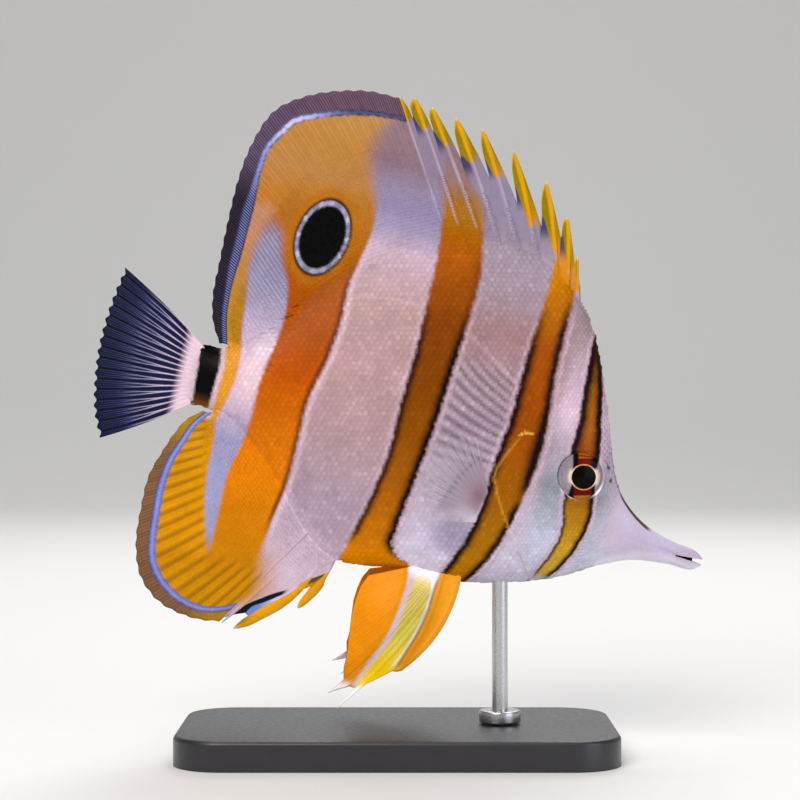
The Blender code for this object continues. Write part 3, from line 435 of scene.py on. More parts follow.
def fishColours(x, z):
    # the colour of skin, scales and the roots of the fins at a place on the flank
    toBelly = bellyAt(x) + 3.2 - z
    colour = layAll(
        shadeAlong(z, ink["ground"]),
        (shadeAlong(z, ink["frontGround"]), rise(50.0, 60.0, x)),
        (shadeAlong(z, ink["headGround"]), rise(83.0, 88.0, x)),
        (shadeAlong(x, ink["snout"]), rise(99.0, 107.0, x) * rise(-21.0, -15.5, z + (x - 104) * 0.1)),
        ("#f2ecfa", 0.7 * rise(0.0, 1.0, toBelly / 3.0) * rise(58.0, 66.0, x)),
    )

    # streaks of the breast between the front and middle bands, and the lateral line
    streakZone = rise(58, 61, x) * (1 - rise(73, 76, x)) * rise(-8, -2, z) * (1 - rise(16, 22, z))
    tilt = 0.27 * (z - 2) / 10 + 0.26
    streak = wave((z + (x - 67) * tilt) / 2.5)
    away, _, _ = distanceTo(markings["lateralLine"], x, z)
    colour = layAll(
        colour,
        ("#cdb9c8", 0.5 * streakZone * (1 - streak) ** 2),
        ("#62526a", 0.72 * streakZone * streak**2.5),
        ("#ddc6d2", 0.28 * bell(away, 0, 0.45)),
    )

    # the back fin's spines show through as pale lines
    spineLines = np.full(np.shape(x), 9.0)
    for root, tip, _ in backFin["spines"]:
        root, tip = np.array(root), np.array(tip)
        away, share, _ = distanceTo([root + (root - tip) * 0.28, root, tip], x, z, 4)
        spineLines = np.minimum(spineLines, away + 2.5 * (1 - rise(0.0, 0.12, share)))
    spineLines += 1 - rise(47.5, 51.0, z)

    # rear band, with the orange of both rear fins behind it
    soft = 0.3 + 2.8 * rise(44.0, 58.0, z) + 2.0 * rise(-30.0, -44.0, z)
    behind = edgeX("rearBandFront", z) - x
    inRear = rise(-1.0, 1.0, behind / soft)
    border = bell(behind, -0.9, 0.6) * (1 - rise(36, 44, z)) * rise(-36, -30, z)
    edge = inRear * (1 - rise(0.5, 1.5, behind)) * (1 - rise(26, 38, z)) * rise(-34, -26, z)
    colour = layAll(
        colour,
        ("#cf9c74", 0.7 * rise(-6.5, -0.5, behind) * rise(-34.0, -41.0, z)),
        ("#e6c6d6", 0.7 * border),
        (shadeAlong(z, ink["rearOrange"]), inRear),
        ("#4a1c06", 0.8 * edge),
    )

    # pale wedge and what lies behind it
    rear, front = edgeX("wedgeRear", z), edgeX("wedgeFront", z)
    soft = 0.45 + 1.6 * rise(22.0, 38.0, z)
    behindWedge = rise(-soft, soft, rear - x)
    stripColour = lay(shadeAlong(z, ink["analGold"]), shadeAlong(z, ink["strip"]), rise(0.0, 6.0, z))
    inWedge = rise(-soft, soft, np.minimum(x - rear, front - x))
    inWedge = inWedge * (1 - rise(36, 43, z)) * rise(-42.0, -36.0, z)
    streak = wave((0.67 * x + 0.74 * z) / 0.95)
    pale = rise(5.5, 2.5, front - x) * rise(17.0, 10.0, z) * rise(-3.0, 2.0, z)
    colour = layAll(
        colour,
        (stripColour, behindWedge * (1 - rise(41, 46, z)) * rise(-44, -40, z)),
        (shadeAlong(z, ink["wedge"]), inWedge),
        ("#dcd6ea", 0.3 * inWedge * streak**2 * rise(5.0, 9.0, z)),
        ("#f6e0ea", 0.55 * inWedge * pale),
    )

    # the flank turns under towards the belly, and the photo's light is brighter there
    above = z - bellyAt(x)
    under = rise(5.5, 0.3, above) * (above > 0) * rise(22, 30, x) * rise(64, 56, x)
    colour = colour * (1 + 0.2 * under)[..., None]

    # stalk of the tail: yellow, pale, black bar, pale
    onStalk = 1 - rise(8.6, 10.4, np.abs(z))
    beforeBar = x - edgeX("stalkBarFront", z)
    bar = shadeAlong(z, [(-7.0, "#8a5410"), (-5.2, "#4a2808"), (-3.8, ink["black"])])
    colour = layAll(
        colour,
        (ink["stalkYellow"], onStalk * rise(0.4, -0.4, x - edgeX("wedgeRear", z))),
        (ink["stalkPale"], onStalk * rise(0.3, -0.3, beforeBar - 1.2)),
        (bar, onStalk * rise(0.25, -0.25, beforeBar)),
        (ink["tailBase"], onStalk * rise(0.25, -0.25, x - edgeX("stalkBarRear", z))),
    )

    # the three bands before it
    underMid = colour
    deep = 1 - rise(18.0, 34.0, z)
    colour, _ = bandOver(
        colour, x, z, "midBand",
        0.85 * deep * rise(-31, -26, z), (0.25 + 0.75 * deep) * rise(-33, -28, z) * (1 - rise(40, 50, z)),
        0.3 + 1.8 * rise(46.0, 58.0, z), (1.05, 1.3),
    )
    colour = underMid + (colour - underMid) * (1 - 0.75 * rise(55.0, 64.0, z))[..., None]
    colour, inFront = bandOver(
        colour, x, z, "frontBand",
        (1 - rise(20, 40, z)) * rise(-36, -30, z),
        rise(-35, -31, z) * (1 - rise(30, 42, z)) * (1 - 0.75 * bell(z, -9.5, 2.2)), 0.3,
        (1.25, 1.15 + 0.75 * bell(z, 2.0, 8.0)), 1.15,
    )
    # a dark fleck above the pectoral fin's root, and a painted shadow of the fin on the flank below it
    fleck = np.hypot(x - 72.4, z + 8.2)
    shade = 1 - rise(0.4, 1.15, np.hypot((x - 68.6) / 7.0, (z + 22.2) / 5.6))
    colour = layAll(
        colour, ("#3a2838", 0.85 * (1 - rise(0.4, 0.95, fleck))), ("#8a87a6", 0.6 * shade * (1 - inFront)),
    )
    before = colour
    colour, _ = bandOver(
        colour, x, z, "eyeBand", 1.0, 1.0, 0.25,
        (0.45 + 1.0 * rise(-9.0, 2.0, z), 0.8 + 0.5 * rise(-8.0, 0.0, z)), 0.5,
    )
    colour = before + (colour - before) * rise(-28.5, -25.5, z)[..., None]

    # the eye-spot of the back fin, over the spines' lines
    spot = ocellusRadius(x, z)
    bearing = np.arctan2(z - markings["ocellus"][1], x - markings["ocellus"][0])
    speck = 0.5 + 0.5 * np.sin(13 * bearing) * np.sin(5 * bearing + 1.0)
    colour = layAll(
        colour,
        (ink["spine"], 0.32 * (1 - rise(0.1, 0.42, spineLines))),
        ("#b26a0a", 0.8 * (1 - rise(1.35, 1.75, spot))),
        (ink["ringEdge"], 1 - rise(1.2, 1.32, spot)),
        (lay(plain(x, ink["ring"]), "#d9d5ea", 0.75 * speck**2), 1 - rise(1.14, 1.19, spot)),
        (ink["black"], 1 - rise(0.97, 1.05, spot)),
    )

    # snout: dark stripe on its ridge, pink lips, and painted shade along the lip groove; the painted shade
    # inside the mouth is laid in makeSkin
    ridge = backAt(x) - z
    stripe = (0.45 * rise(99.5, 102.0, x) + 0.55 * rise(104.5, 106.5, x)) * (1 - rise(113.2, 115.0, x))
    onLips = bell(z, head["mouthLevel"], 1.1) * rise(120.5, 124.0, x)
    away, share, _ = distanceTo(head["lipGroove"], x, z)
    colour = layAll(
        colour,
        ("#2e1a14", 0.95 * stripe * (1 - rise(0.6, 1.05, ridge))),
        ("#8d6a1c", 0.6 * stripe * (1 - rise(0.05, 0.3, ridge))),
        ("#cdb4c6", 0.5 * onLips),
        # painted shade along the lip groove
        ("#9a92ae", 0.4 * bell(away, 0, 0.4) * (1 - share)),
    )
    # painted shade in the nostril pits
    for nostril in head["nostrils"]:
        away = np.hypot(x - nostril[0], z - nostril[1])
        colour = lay(colour, "#5a4652", 1 - rise(0.3, 0.55, away))
    # painted highlights along the rim of the gill cover, and on the small bright hook at its top
    rim = bell(x - gillEdgeAt(z), 0.15, 0.26) * rise(-28, -25, z) * (1 - rise(2.5, 5.0, z))
    away, _, _ = distanceTo(head["gillHook"], x, z, 12)
    return layAll(
        colour,
        ("#f0a82c", 0.7 * rim * inFront * (1 - 0.45 * rise(-8.0, -3.0, z))),
        ("#efe6f2", 0.75 * rim * (1 - inFront)),
        ("#ffc04a", 0.8 * (1 - rise(0.12, 0.4, away))),
    )


# Meshes

def addObject(name, data):
    added = bpy.data.objects.new(name, data)
    bpy.context.scene.collection.objects.link(added)
    return added


def newPiece(name, mesh, material, replaced=()):
    piece = addObject(name, mesh)
    mesh.materials.append(material)
    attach(piece, "root")
    if replaced:
        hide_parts(*replaced)
    return piece


def meshFrom(name, bm, sharpDeg=None):
    mesh = bpy.data.meshes.new(name)
    bm.to_mesh(mesh)
    bm.free()
    mesh.shade_smooth()
    if sharpDeg:
        mesh.set_sharp_from_angle(angle=math.radians(sharpDeg))
    return mesh


def vertsOf(geometry):
    return [v for v in geometry if isinstance(v, bmesh.types.BMVert)]


def chainOf(bm, points):
    # points joined by edges one after another
    verts = [bm.verts.new(point) for point in points]
    return verts, [bm.edges.new(pair) for pair in zip(verts, verts[1:])]


def setAttributes(mesh, attributes):
    for name, values in attributes.items():
        values = np.asarray(values, float)
        if values.ndim == 2:
            made = mesh.attributes.new(name, "FLOAT_COLOR", "POINT")
            made.data.foreach_set("color", np.c_[np.clip(values, 0, 1), np.ones(len(values))].ravel())
        else:
            made = mesh.attributes.new(name, "FLOAT", "POINT")
            made.data.foreach_set("value", values)


def placedMesh(name, bm, place):
    # place() takes the points of a plain grid, and gives their places and attributes
    mesh = meshFrom(name, bm)
    flat = np.empty(len(mesh.vertices) * 3)
    mesh.vertices.foreach_get("co", flat)
    points, attributes = place(flat.reshape(-1, 3))
    mesh.vertices.foreach_set("co", toFrame(points).ravel())
    setAttributes(mesh, attributes)
    bm = bmesh.new()
    bm.from_mesh(mesh)
    bmesh.ops.remove_doubles(bm, verts=bm.verts, dist=0.000002)
    bmesh.ops.dissolve_degenerate(bm, edges=bm.edges, dist=0.0000005)
    bmesh.ops.recalc_face_normals(bm, faces=bm.faces)
    bm.to_mesh(mesh)
    bm.free()
    mesh.shade_smooth()
    return mesh


def plainGrid(across, along):
    # a grid from -1 to 1 with its own map, to be laid over a shape
    bm = bmesh.new()
    bm.loops.layers.uv.new("OFBake")
    bmesh.ops.create_grid(bm, x_segments=across, y_segments=along, size=1.0, calc_uvs=True)
    return bm


def gridIndex(places, steps):
    # which column or row of a plain grid a place from -1 to 1 belongs to
    return np.rint((places + 1) / 2 * steps).astype(int)


def normalsOf(grid):
    # unit normals, turned to the fish's left
    across = unit(np.cross(np.gradient(grid, axis=0), np.gradient(grid, axis=1)))
    return across * np.where(across[..., 1:2] < 0, -1.0, 1.0)


def rowLengths(grid):
    # how far each point lies from its column's first
    steps = np.cumsum(np.linalg.norm(np.diff(grid, axis=1), axis=2), axis=1)
    return np.concatenate([np.zeros((len(grid), 1)), steps], axis=1)


def finSheet(name, grid, half, colour, solid=1.0, normals=None):
    # two grids half the fin's thickness apart that meet at the rim; without normals, it is flat
    columns, rows = grid.shape[:2]
    bm = plainGrid(columns - 1, rows - 1)
    second = bmesh.ops.duplicate(bm, geom=bm.verts[:] + bm.edges[:] + bm.faces[:])["geom"]
    bmesh.ops.translate(bm, verts=vertsOf(second), vec=(0, 0, 1))
    bmesh.ops.reverse_faces(bm, faces=[f for f in second if isinstance(f, bmesh.types.BMFace)])
    half = np.broadcast_to(half, (columns, rows)).copy()
    half[[0, -1], :] = 0.0
    half[:, [0, -1]] = 0.0
    if normals is None:
        normals = np.broadcast_to((0.0, 1.0, 0.0), grid.shape)
    attributes = {
        "markings": colour, "solid": np.broadcast_to(solid, (columns, rows)), "alongRay": rowLengths(grid),
    }

    def place(points):
        at = gridIndex(points[:, 0], columns - 1), gridIndex(points[:, 1], rows - 1)
        side = np.where(points[:, 2] > 0.5, 1.0, -1.0)[:, None]
        return grid[at] + side * normals[at] * half[at][:, None], {
            key: value[at] for key, value in attributes.items()
        }

    return placedMesh(name, bm, place)


# Materials

def addNode(tree, kind, settings=None, links=None):
    node = tree.nodes.new(kind)
    for key, value in (settings or {}).items():
        if isinstance(key, str) and hasattr(node, key):
            setattr(node, key, value)
        else:
            node.inputs[key].default_value = value
    for key, source in (links or {}).items():
        tree.links.new(source, node.inputs[key])
    return node


def noiseOf(tree, place, sizeMm, detail, roughness=0.5):
    return addNode(tree, "ShaderNodeTexNoise", {
        "Scale": 1 / (sizeMm * mm), "Detail": detail, "Roughness": roughness,
    }, {"Vector": place}).outputs["Fac"]


def rangeOf(tree, value, low, high, fromLow=0.3, fromHigh=0.7):
    return addNode(tree, "ShaderNodeMapRange", {
        "From Min": fromLow, "From Max": fromHigh, "To Min": low, "To Max": high,
    }, {"Value": value}).outputs[0]


def mathOf(tree, operation, settings, links):
    return addNode(tree, "ShaderNodeMath", {"operation": operation, **settings}, links).outputs[0]


def attributeOf(tree, name, output="Fac"):
    return addNode(tree, "ShaderNodeAttribute", {"attribute_name": name}).outputs[output]


def tintOf(tree, share, first, second):
    return addNode(tree, "ShaderNodeMix", {
        "data_type": "RGBA", 6: (*linear(first), 1), 7: (*linear(second), 1),
    }, {0: share}).outputs[2]


def stretched(tree, place, scale):
    return addNode(tree, "ShaderNodeMapping", {"Scale": scale}, {"Vector": place}).outputs[0]


def bumpOf(tree, height, strength, distance):
    return addNode(tree, "ShaderNodeBump", {
        "Strength": strength, "Distance": distance,
    }, {"Height": height}).outputs[0]


def startMaterial(name, settings):
    # the new material, its node tree, and a function that feeds the shader
    material = bpy.data.materials.new(name)
    material.use_nodes = True
    tree = material.node_tree
    shader = tree.nodes["Principled BSDF"]
    for key, value in settings.items():
        shader.inputs[key].default_value = value

    def feed(sources):
        for key, source in sources.items():
            tree.links.new(source, shader.inputs[key])

    return material, tree, feed


fishFinish = {
    "mottleMm": 0.9, "cloudMm": 7.0, "glintMm": 0.55, "grainMm": 0.28, "jointMm": 0.75,
    "roughLow": 0.30, "roughHigh": 0.52,
}


def fishMaterial(name, tone, coat, bumpMm, fin=False):
    # Painted and satin-lacquered cast skin: pearly, softly mottled, wet-looking highlights.
    # On a fin, its "solid" attribute gives the alpha, and joints run across the rays.
    material, tree, feed = startMaterial(name, {
        "IOR": 1.46, "Specular IOR Level": 0.06, "Coat Weight": coat, "Coat Roughness": 0.24,
    })
    place = addNode(tree, "ShaderNodeTexCoord").outputs["Object"]
    mottle = noiseOf(tree, place, fishFinish["mottleMm"], 3.0, 0.6)
    cloud = noiseOf(tree, place, fishFinish["cloudMm"], 2.0)
    glint = addNode(tree, "ShaderNodeTexVoronoi", {
        "Scale": 1 / (fishFinish["glintMm"] * mm), "Randomness": 1.0,
    }, {"Vector": place}).outputs["Distance"]
    dim, wide = rangeOf(tree, mottle, 1.0 - tone, 1.0 + tone), rangeOf(tree, cloud, 0.93, 1.07)
    spark = rangeOf(tree, glint, 1.16, 1.0, 0.0, 0.22)
    both = mathOf(tree, "MULTIPLY", {}, {0: dim, 1: wide})
    lit = mathOf(tree, "MULTIPLY", {}, {0: both, 1: spark})
    scaled = addNode(tree, "ShaderNodeVectorMath", {"operation": "SCALE"}, {
        0: attributeOf(tree, "markings", "Color"), "Scale": lit,
    })
    rough = rangeOf(tree, mottle, fishFinish["roughLow"], fishFinish["roughHigh"], 0.35, 0.65)
    height = grain = noiseOf(tree, place, fishFinish["grainMm"], 2.0)
    if fin:
        alongRay = attributeOf(tree, "alongRay")
        turns = mathOf(tree, "MULTIPLY", {1: circle / fishFinish["jointMm"]}, {0: alongRay})
        height = mathOf(tree, "MULTIPLY_ADD", {1: 0.35}, {0: mathOf(tree, "SINE", {}, {0: turns}), 2: grain})
        feed({"Alpha": attributeOf(tree, "solid")})
    bump = bumpOf(tree, height, 0.5, bumpMm * mm)
    feed({"Base Color": scaled.outputs[0], "Roughness": rough, "Normal": bump})
    return material


def eyeMaterial():
    # Glass eye with a painted iris: mirror-clear gloss over a softly grained iris
    material, tree, feed = startMaterial("glassEyePaintedIris", {
        "Roughness": 0.4, "IOR": 1.5, "Specular IOR Level": 0.04, "Coat Weight": 0.06,
        "Coat Roughness": 0.03,
    })
    place = addNode(tree, "ShaderNodeTexCoord").outputs["Object"]
    scaled = addNode(tree, "ShaderNodeVectorMath", {"operation": "SCALE"}, {
        0: attributeOf(tree, "markings", "Color"),
        "Scale": rangeOf(tree, noiseOf(tree, place, 0.45, 3.0), 0.82, 1.14),
    })
    feed({"Base Color": scaled.outputs[0]})
    return material


def baseMaterial():
    # Satin black lacquer on fine-grained board: soft highlights, faint orange peel
    material, tree, feed = startMaterial("satinBlackLacquer", {
        "IOR": 1.5, "Coat Weight": 0.25, "Coat Roughness": 0.3,
    })
    place = addNode(tree, "ShaderNodeTexCoord").outputs["Object"]
    peel = noiseOf(tree, place, 1.4, 4.0)
    grain = noiseOf(tree, stretched(tree, place, (0.06, 1.0, 1.0)), 0.9, 5.0, 0.65)
    both = mathOf(tree, "ADD", {}, {0: peel, 1: grain})
    feed({
        "Base Color": tintOf(tree, grain, "#17161a", "#26242a"),
        "Roughness": rangeOf(tree, peel, 0.34, 0.48),
        "Normal": bumpOf(tree, both, 0.25, 0.06 * mm),
    })
    return material


def rodMaterial():
    # Brushed stainless steel: bright metal with fine lines round the rod
    material, tree, feed = startMaterial("brushedStainlessSteel", {"Metallic": 1.0})
    place = addNode(tree, "ShaderNodeTexCoord").outputs["Object"]
    lines = noiseOf(tree, stretched(tree, place, (0.12, 0.12, 1.0)), 0.12, 4.0, 0.7)
    feed({
        "Base Color": tintOf(tree, lines, "#b4b5b8", "#d3d3d5"),
        "Roughness": rangeOf(tree, lines, 0.2, 0.36),
        "Normal": bumpOf(tree, lines, 0.2, 0.03 * mm),
    })
    return material


# The skin

def skinStations():
    # close together on the head and snout, wider on the flank
    dense = np.linspace(body["rear"], body["front"], 2000)
    density = 1.0 + 1.6 * rise(70, 78, dense) + 1.2 * rise(118, 122, dense)
    run = np.concatenate([[0.0], np.cumsum((density[1:] + density[:-1]) / 2 * np.diff(dense))])
    return np.interp(np.linspace(0, run[-1], body["stations"] + 1), run, dense)


def endTaper(x):
    # rounds the body off at both its ends
    rear = np.clip((x - body["rear"]) / 1.0, 0, 1)
    front = np.clip((body["front"] - x) / 0.9, 0, 1)
    return np.sqrt(rear * (2 - rear)) * np.sqrt(front * (2 - front))


def sectionAt(x, count):
    # (y, z) down one side of the body's section, evenly spaced along it, and its length
    turn = np.linspace(0, math.pi, 400)
    upper = turn <= math.pi / 2
    widest = widestAt(x)
    sine = np.sin(turn)
    sharp = np.where(upper, backSharpnessAt(x), bellySharpnessAt(x))
    z = widest + np.cos(turn) * np.where(upper, backAt(x) - widest, widest - bellyAt(x))
    ridge = body["ridge"] * (1 - np.exp(-sine * 12))
    y = (halfWidthAt(x) * np.maximum(sine, 0) ** sharp + ridge) * endTaper(x)
    arc = np.concatenate([[0.0], np.cumsum(np.hypot(np.diff(y), np.diff(z)))])
    even = np.linspace(0, arc[-1], count)
    return np.interp(even, arc, y), np.interp(even, arc, z), arc[-1]


def sectionsAlong(xs, count):
    # every section's y, z and length
    return (np.array(values) for values in zip(*(sectionAt(x, count) for x in xs)))


def skinRing(x, y, z, normals):
    # adds the forms of the head to one side of the skin
    bare = body["bareDepth"]
    toEye, fromMouth = fromEye(x, z), np.abs(z - head["mouthLevel"])
    depth = -bare - (body["coatDepth"] - bare) * (1 - rise(98.5, 103.0, x)) + relief(x, z)
    lip = bell(fromMouth - mouthHalf(x), 0.25, 0.28)
    depth = depth + 0.1 * lip * rise(head["mouthCornerX"] - 1, head["mouthCornerX"] + 1, x)
    depth = depth * np.clip(y / 0.6, 0, 1)
    x, y, z = x + normals[0] * depth, y + normals[1] * depth, z + normals[2] * depth
    y = y - head["socketDepth"] * rise(5.75, 5.45, toEye)
    inMouth = (np.abs(z - head["mouthLevel"]) < mouthHalf(x)) & (x > head["mouthCornerX"])
    y = np.where(inMouth, np.minimum(y, 0.12), y)
    x = np.where(inMouth & (x > head["mouthEndX"]), head["mouthEndX"], x)
    return x, np.maximum(y, 0.0), z, inMouth


def makeSkin(material):
    stations, ring = skinStations(), body["ring"]
    y, z, _ = sectionsAlong(stations, ring + 1)
    x = np.repeat(stations[:, None], ring + 1, axis=1)
    normals = normalsOf(np.stack([x, y, z], axis=2))
    newX, newY, newZ, inMouth = skinRing(x, y, z, np.moveaxis(normals, 2, 0))
    # painted shade inside the mouth slit, and at the bottom of the eye socket
    colours = layAll(
        fishColours(x, z),
        ("#0b0608", inMouth.astype(float)),
        ("#2a2026", 0.5 * rise(5.4, 5.2, fromEye(x, z))),
    )

    def place(points):
        c, r = gridIndex(points[:, 0], body["stations"]), gridIndex(points[:, 1], 2 * ring)
        left = r > ring
        r = np.where(left, 2 * ring - r, r)
        side = np.where(left, 1.0, -1.0)
        return np.stack([newX[c, r], side * newY[c, r], newZ[c, r]], axis=1), {"markings": colours[c, r]}

    mesh = placedMesh("skin", plainGrid(body["stations"], 2 * ring), place)
    return newPiece("skin", mesh, material, (
        "head", "trunk", "tail_stalk", "upper_jaw", "lower_jaw", "gill_cover_right", "gill_cover_left",
    ))


# Scales

scaleForm = {
    "length": 1.72, "width": 1.3,       # of the pitch between scales
    "sunk": 0.1, "lifted": 0.045, "thick": 0.035, "crown": 0.035, "rowShare": 0.88,
    "trunkPitch": 1.4, "headPitch": 1.0, "stalkPitch": 0.95, "finPitch": 1.15,
    "jitterDeg": 4.0, "sizeJitter": 0.05, "toneJitter": 0.035,
    "levelLine": (3.0, 15.0),           # where the first row runs level in the room
    "uvSize": 0.003, "sharpDeg": 35,
}


def scaleTemplate():
    # one thin scale: rounded at its rear edge, with the root narrower and sunk
    bm = bmesh.new()
    bmesh.ops.create_grid(bm, x_segments=3, y_segments=3, size=1.0)
    lower = bmesh.ops.extrude_face_region(bm, geom=bm.faces[:])["geom"]
    bmesh.ops.translate(bm, verts=vertsOf(lower), vec=(0, 0, -1))
    bmesh.ops.recalc_face_normals(bm, faces=bm.faces)
    bm.verts.ensure_lookup_table()
    points = np.array([v.co[:] for v in bm.verts])
    faces = [[v.index for v in f.verts] for f in bm.faces]
    bm.free()
    along, across = (points[:, 0] + 1) / 2, points[:, 1]
    root = 0.72 + 0.28 * np.sin(along * math.pi)
    tip = np.sqrt(np.maximum(0, 1 - ((along - 0.5) / 0.62) ** 2))
    bowed = along - 0.16 * across**2 * rise(0.4, 1.0, along)
    return bowed, across * np.where(along < 0.5, root, tip), points[:, 2], faces


def joinScales(name, places, normals, rearward, sizes, uvs, material, surface=None):
    # every scale of a patch in one mesh; surface gives the half width they bend to
    count = len(places)
    along, across, under, faces = scaleTemplate()
    turn = np.radians(chance.normal(0, scaleForm["jitterDeg"], count))
    sideways = np.cross(normals, rearward)
    sideways /= np.linalg.norm(sideways, axis=1, keepdims=True)
    forward = np.cos(turn)[:, None] * rearward + np.sin(turn)[:, None] * sideways
    sideways = np.cross(normals, forward)
    size = sizes * (1 + chance.normal(0, scaleForm["sizeJitter"], count))
    a = (along - 0.35)[None, :] * (size * scaleForm["length"])[:, None]
    b = (across / 2)[None, :] * (size * scaleForm["width"])[:, None]
    lift = -scaleForm["sunk"] + (scaleForm["sunk"] + scaleForm["lifted"]) * along
    crown = scaleForm["crown"] * (1 - across**2)
    c = (lift + crown)[None, :] + under[None, :] * scaleForm["thick"]
    c = c * np.clip(size / 1.5, 0.55, 1.1)[:, None]
    flat = places[:, None, :] + a[..., None] * forward[:, None, :] + b[..., None] * sideways[:, None, :]
    if surface:
        out = surface(flat[..., 0], flat[..., 2]) - np.abs(flat[..., 1])
        c = c + np.clip(out * np.abs(normals[:, 1:2]), -0.6, 0.3)
    points = (flat + c[..., None] * normals[:, None, :]).reshape(-1, 3)
    tone = 1 + chance.normal(0, scaleForm["toneJitter"], count)
    # painted shading on each scale: a painted highlight on its pale middle, brighter on some than on others,
    # and painted shade along its rim
    spot = np.exp(-(((along - 0.72) / 0.2) ** 2) - (across / 0.45) ** 2)
    rim = np.maximum(rise(0.78, 1.0, along), rise(0.7, 1.0, np.abs(across)))
    paintedHighlight = 0.06 + 0.3 * chance.random(count) ** 3
    shade = (0.9 + paintedHighlight[:, None] * spot[None, :] - 0.1 * rim[None, :]) * tone[:, None]
    paint = fishColours(points[:, 0], points[:, 2]) * shade.reshape(-1, 1)
    allFaces = (np.array(faces)[None, :, :] + len(along) * np.arange(count)[:, None, None]).reshape(-1, 4)
    mesh = bpy.data.meshes.new(name)
    mesh.from_pydata(toFrame(points).tolist(), [], allFaces.tolist())
    mesh.update()
    setAttributes(mesh, {"markings": paint})
    layer = mesh.uv_layers.new(name="OFBake")
    corner = np.empty(len(mesh.loops), int)
    mesh.loops.foreach_get("vertex_index", corner)
    patch = scaleForm["uvSize"] * np.stack([along - 0.5, (across + under * 0.1) / 2], axis=1)
    spread = (uvs[:, None, :] + patch[None, :, :]).reshape(-1, 2)
    layer.data.foreach_set("uv", np.clip(spread, 0, 1)[corner].ravel())
    mesh.shade_smooth()
    mesh.set_sharp_from_angle(angle=math.radians(scaleForm["sharpDeg"]))
    return newPiece(name, mesh, material, ())


def flankTable():
    # the flank as rows at even distances from a level line through the fish
    xs = np.linspace(-0.6, 108.0, 700)
    return (xs, *sectionsAlong(xs, 260))


def flankLattice(table, spacing, keep):
    # staggered rows of places, level in the room as the photo has them
    xs, ys, zs, lengths = table
    arcs = np.linspace(0, 1, ys.shape[1])[None, :] * lengths[:, None]
    back, under = scaleForm["levelLine"]
    levelZ = xs * math.tan(pitchTurn) - back / math.cos(pitchTurn) - under
    levelArc = np.array([
        np.interp(-np.clip(level, z[-1], z[0]), -z, arc) - max(0.0, level - z[0]) + max(0.0, z[-1] - level)
        for level, z, arc in zip(levelZ, zs, arcs)
    ])
    found = []
    for row in range(-110, 110):
        arc = levelArc + row * spacing * scaleForm["rowShare"]
        inside = (arc > 0.1) & (arc < lengths - 0.1)
        if inside.sum() < 8:
            continue
        y, z = (
            np.array([np.interp(*given) for given in zip(arc, arcs, values)]) for values in (ys, zs)
        )
        run = np.maximum.accumulate(xs * math.cos(pitchTurn) + z * math.sin(pitchTurn))
        first, last = math.ceil(run[0] / spacing), math.floor(run[-1] / spacing)
        x = np.interp(np.arange(first, last) * spacing + (row % 2) * spacing / 2, run, xs)
        x = x[np.interp(x, xs, inside.astype(float)) > 0.99]
        if not len(x):
            continue

        def onRow(at):
            return np.stack([at, np.interp(at, xs, y), np.interp(at, xs, z)], axis=1)

        # a step to the rear along the row, and a step down the section
        step = 0.35
        rearward = onRow(x - step) - onRow(x + step)
        nearest, below = np.searchsorted(xs, x), np.interp(x, xs, arc) + 0.3
        lower = [
            [0.0, np.interp(at, arcs[i], ys[i]), np.interp(at, arcs[i], zs[i])] for at,
            i in zip(below, nearest)
        ]
        down = np.array(lower) - onRow(x) * (0, 1, 1)
        found.append(np.c_[onRow(x), rearward, down, np.interp(x, xs, arc / lengths)])
    found = np.concatenate(found)
    return found[keep(found[:, 0], found[:, 2])]


def scalePatch(name, lattice, spacing, side, stations, material, sizeAt=None):
    places, rearward, down = (lattice[:, k:k + 3].copy() for k in (0, 3, 6))
    share = lattice[:, 9]
    rearward /= np.linalg.norm(rearward, axis=1, keepdims=True)
    normals = unit(np.cross(rearward, down))
    normals *= np.where(normals[:, 1:2] < 0, -1.0, 1.0)
    places += normals * (relief(places[:, 0], places[:, 2]) - scaleForm["lifted"])[:, None]
    for array in (places, rearward, normals):
        array[:, 1] *= side
    sizes = spacing * (sizeAt(places[:, 0]) if sizeAt else np.ones(len(places)))
    u = np.interp(places[:, 0], stations, np.linspace(0, 1, len(stations)))
    v = share / 2 if side < 0 else 1 - share / 2

    def surface(x, z):
        level = np.clip(z, bellyAt(x) + 0.25, backAt(x) - 0.25)
        return flankY(x, level) + relief(x, level) - scaleForm["lifted"]

    uvs = np.stack([u, v], axis=1)
    return joinScales(name, places, normals, rearward, sizes, uvs, material, surface)


def makeScales(material):
    stations, table = skinStations(), flankTable()

    def onTrunk(x, z):
        clearOfLobe = np.hypot((x - head["pectoralBase"][0]) / 1.7, (z - head["pectoralBase"][1]) / 4.0) > 1
        return (x > 11) & (x < np.where(z < 7, gillEdgeAt(z) - 0.5, 84.0)) & clearOfLobe

    def onHead(x, z):
        behindSnout = x < 103.5 + 0.06 * (z + 20)
        return (x > np.where(z < 7, gillEdgeAt(z) + 0.9, 83.2)) & behindSnout & (fromEye(x, z) > 6.55)

    def onStalk(x, z):
        return (x > 0.2) & (x <= 11.6)

    patches = [
        (place, scaleForm[pitch], flankLattice(table, scaleForm[pitch], keep)) for place, pitch, keep in (
            ("Trunk", "trunkPitch", onTrunk), ("Head", "headPitch", onHead), ("Stalk", "stalkPitch", onStalk),
        )
    ]
    for side, sideName in sides:
        for place, spacing, lattice in patches:
            smaller = (lambda x: 1.0 - 0.45 * rise(92, 103, x)) if place == "Head" else None
            scalePatch("scales" + place + sideName, lattice, spacing, side, stations, material, smaller)
    print("scales on one side:", {place: len(lattice) for place, _, lattice in patches})


# Fins

def raySpread(rays, perRay):
    # where each column lies, counted in rays and as a share of the fin
    phase = np.linspace(0, rays - 1, (rays - 1) * perRay + 1)
    return phase, phase / (rays - 1)


def fromRoot(grid):
    # 0 at the root row and 1 at the margin
    return np.linspace(0, 1, grid.shape[1])[None, :]


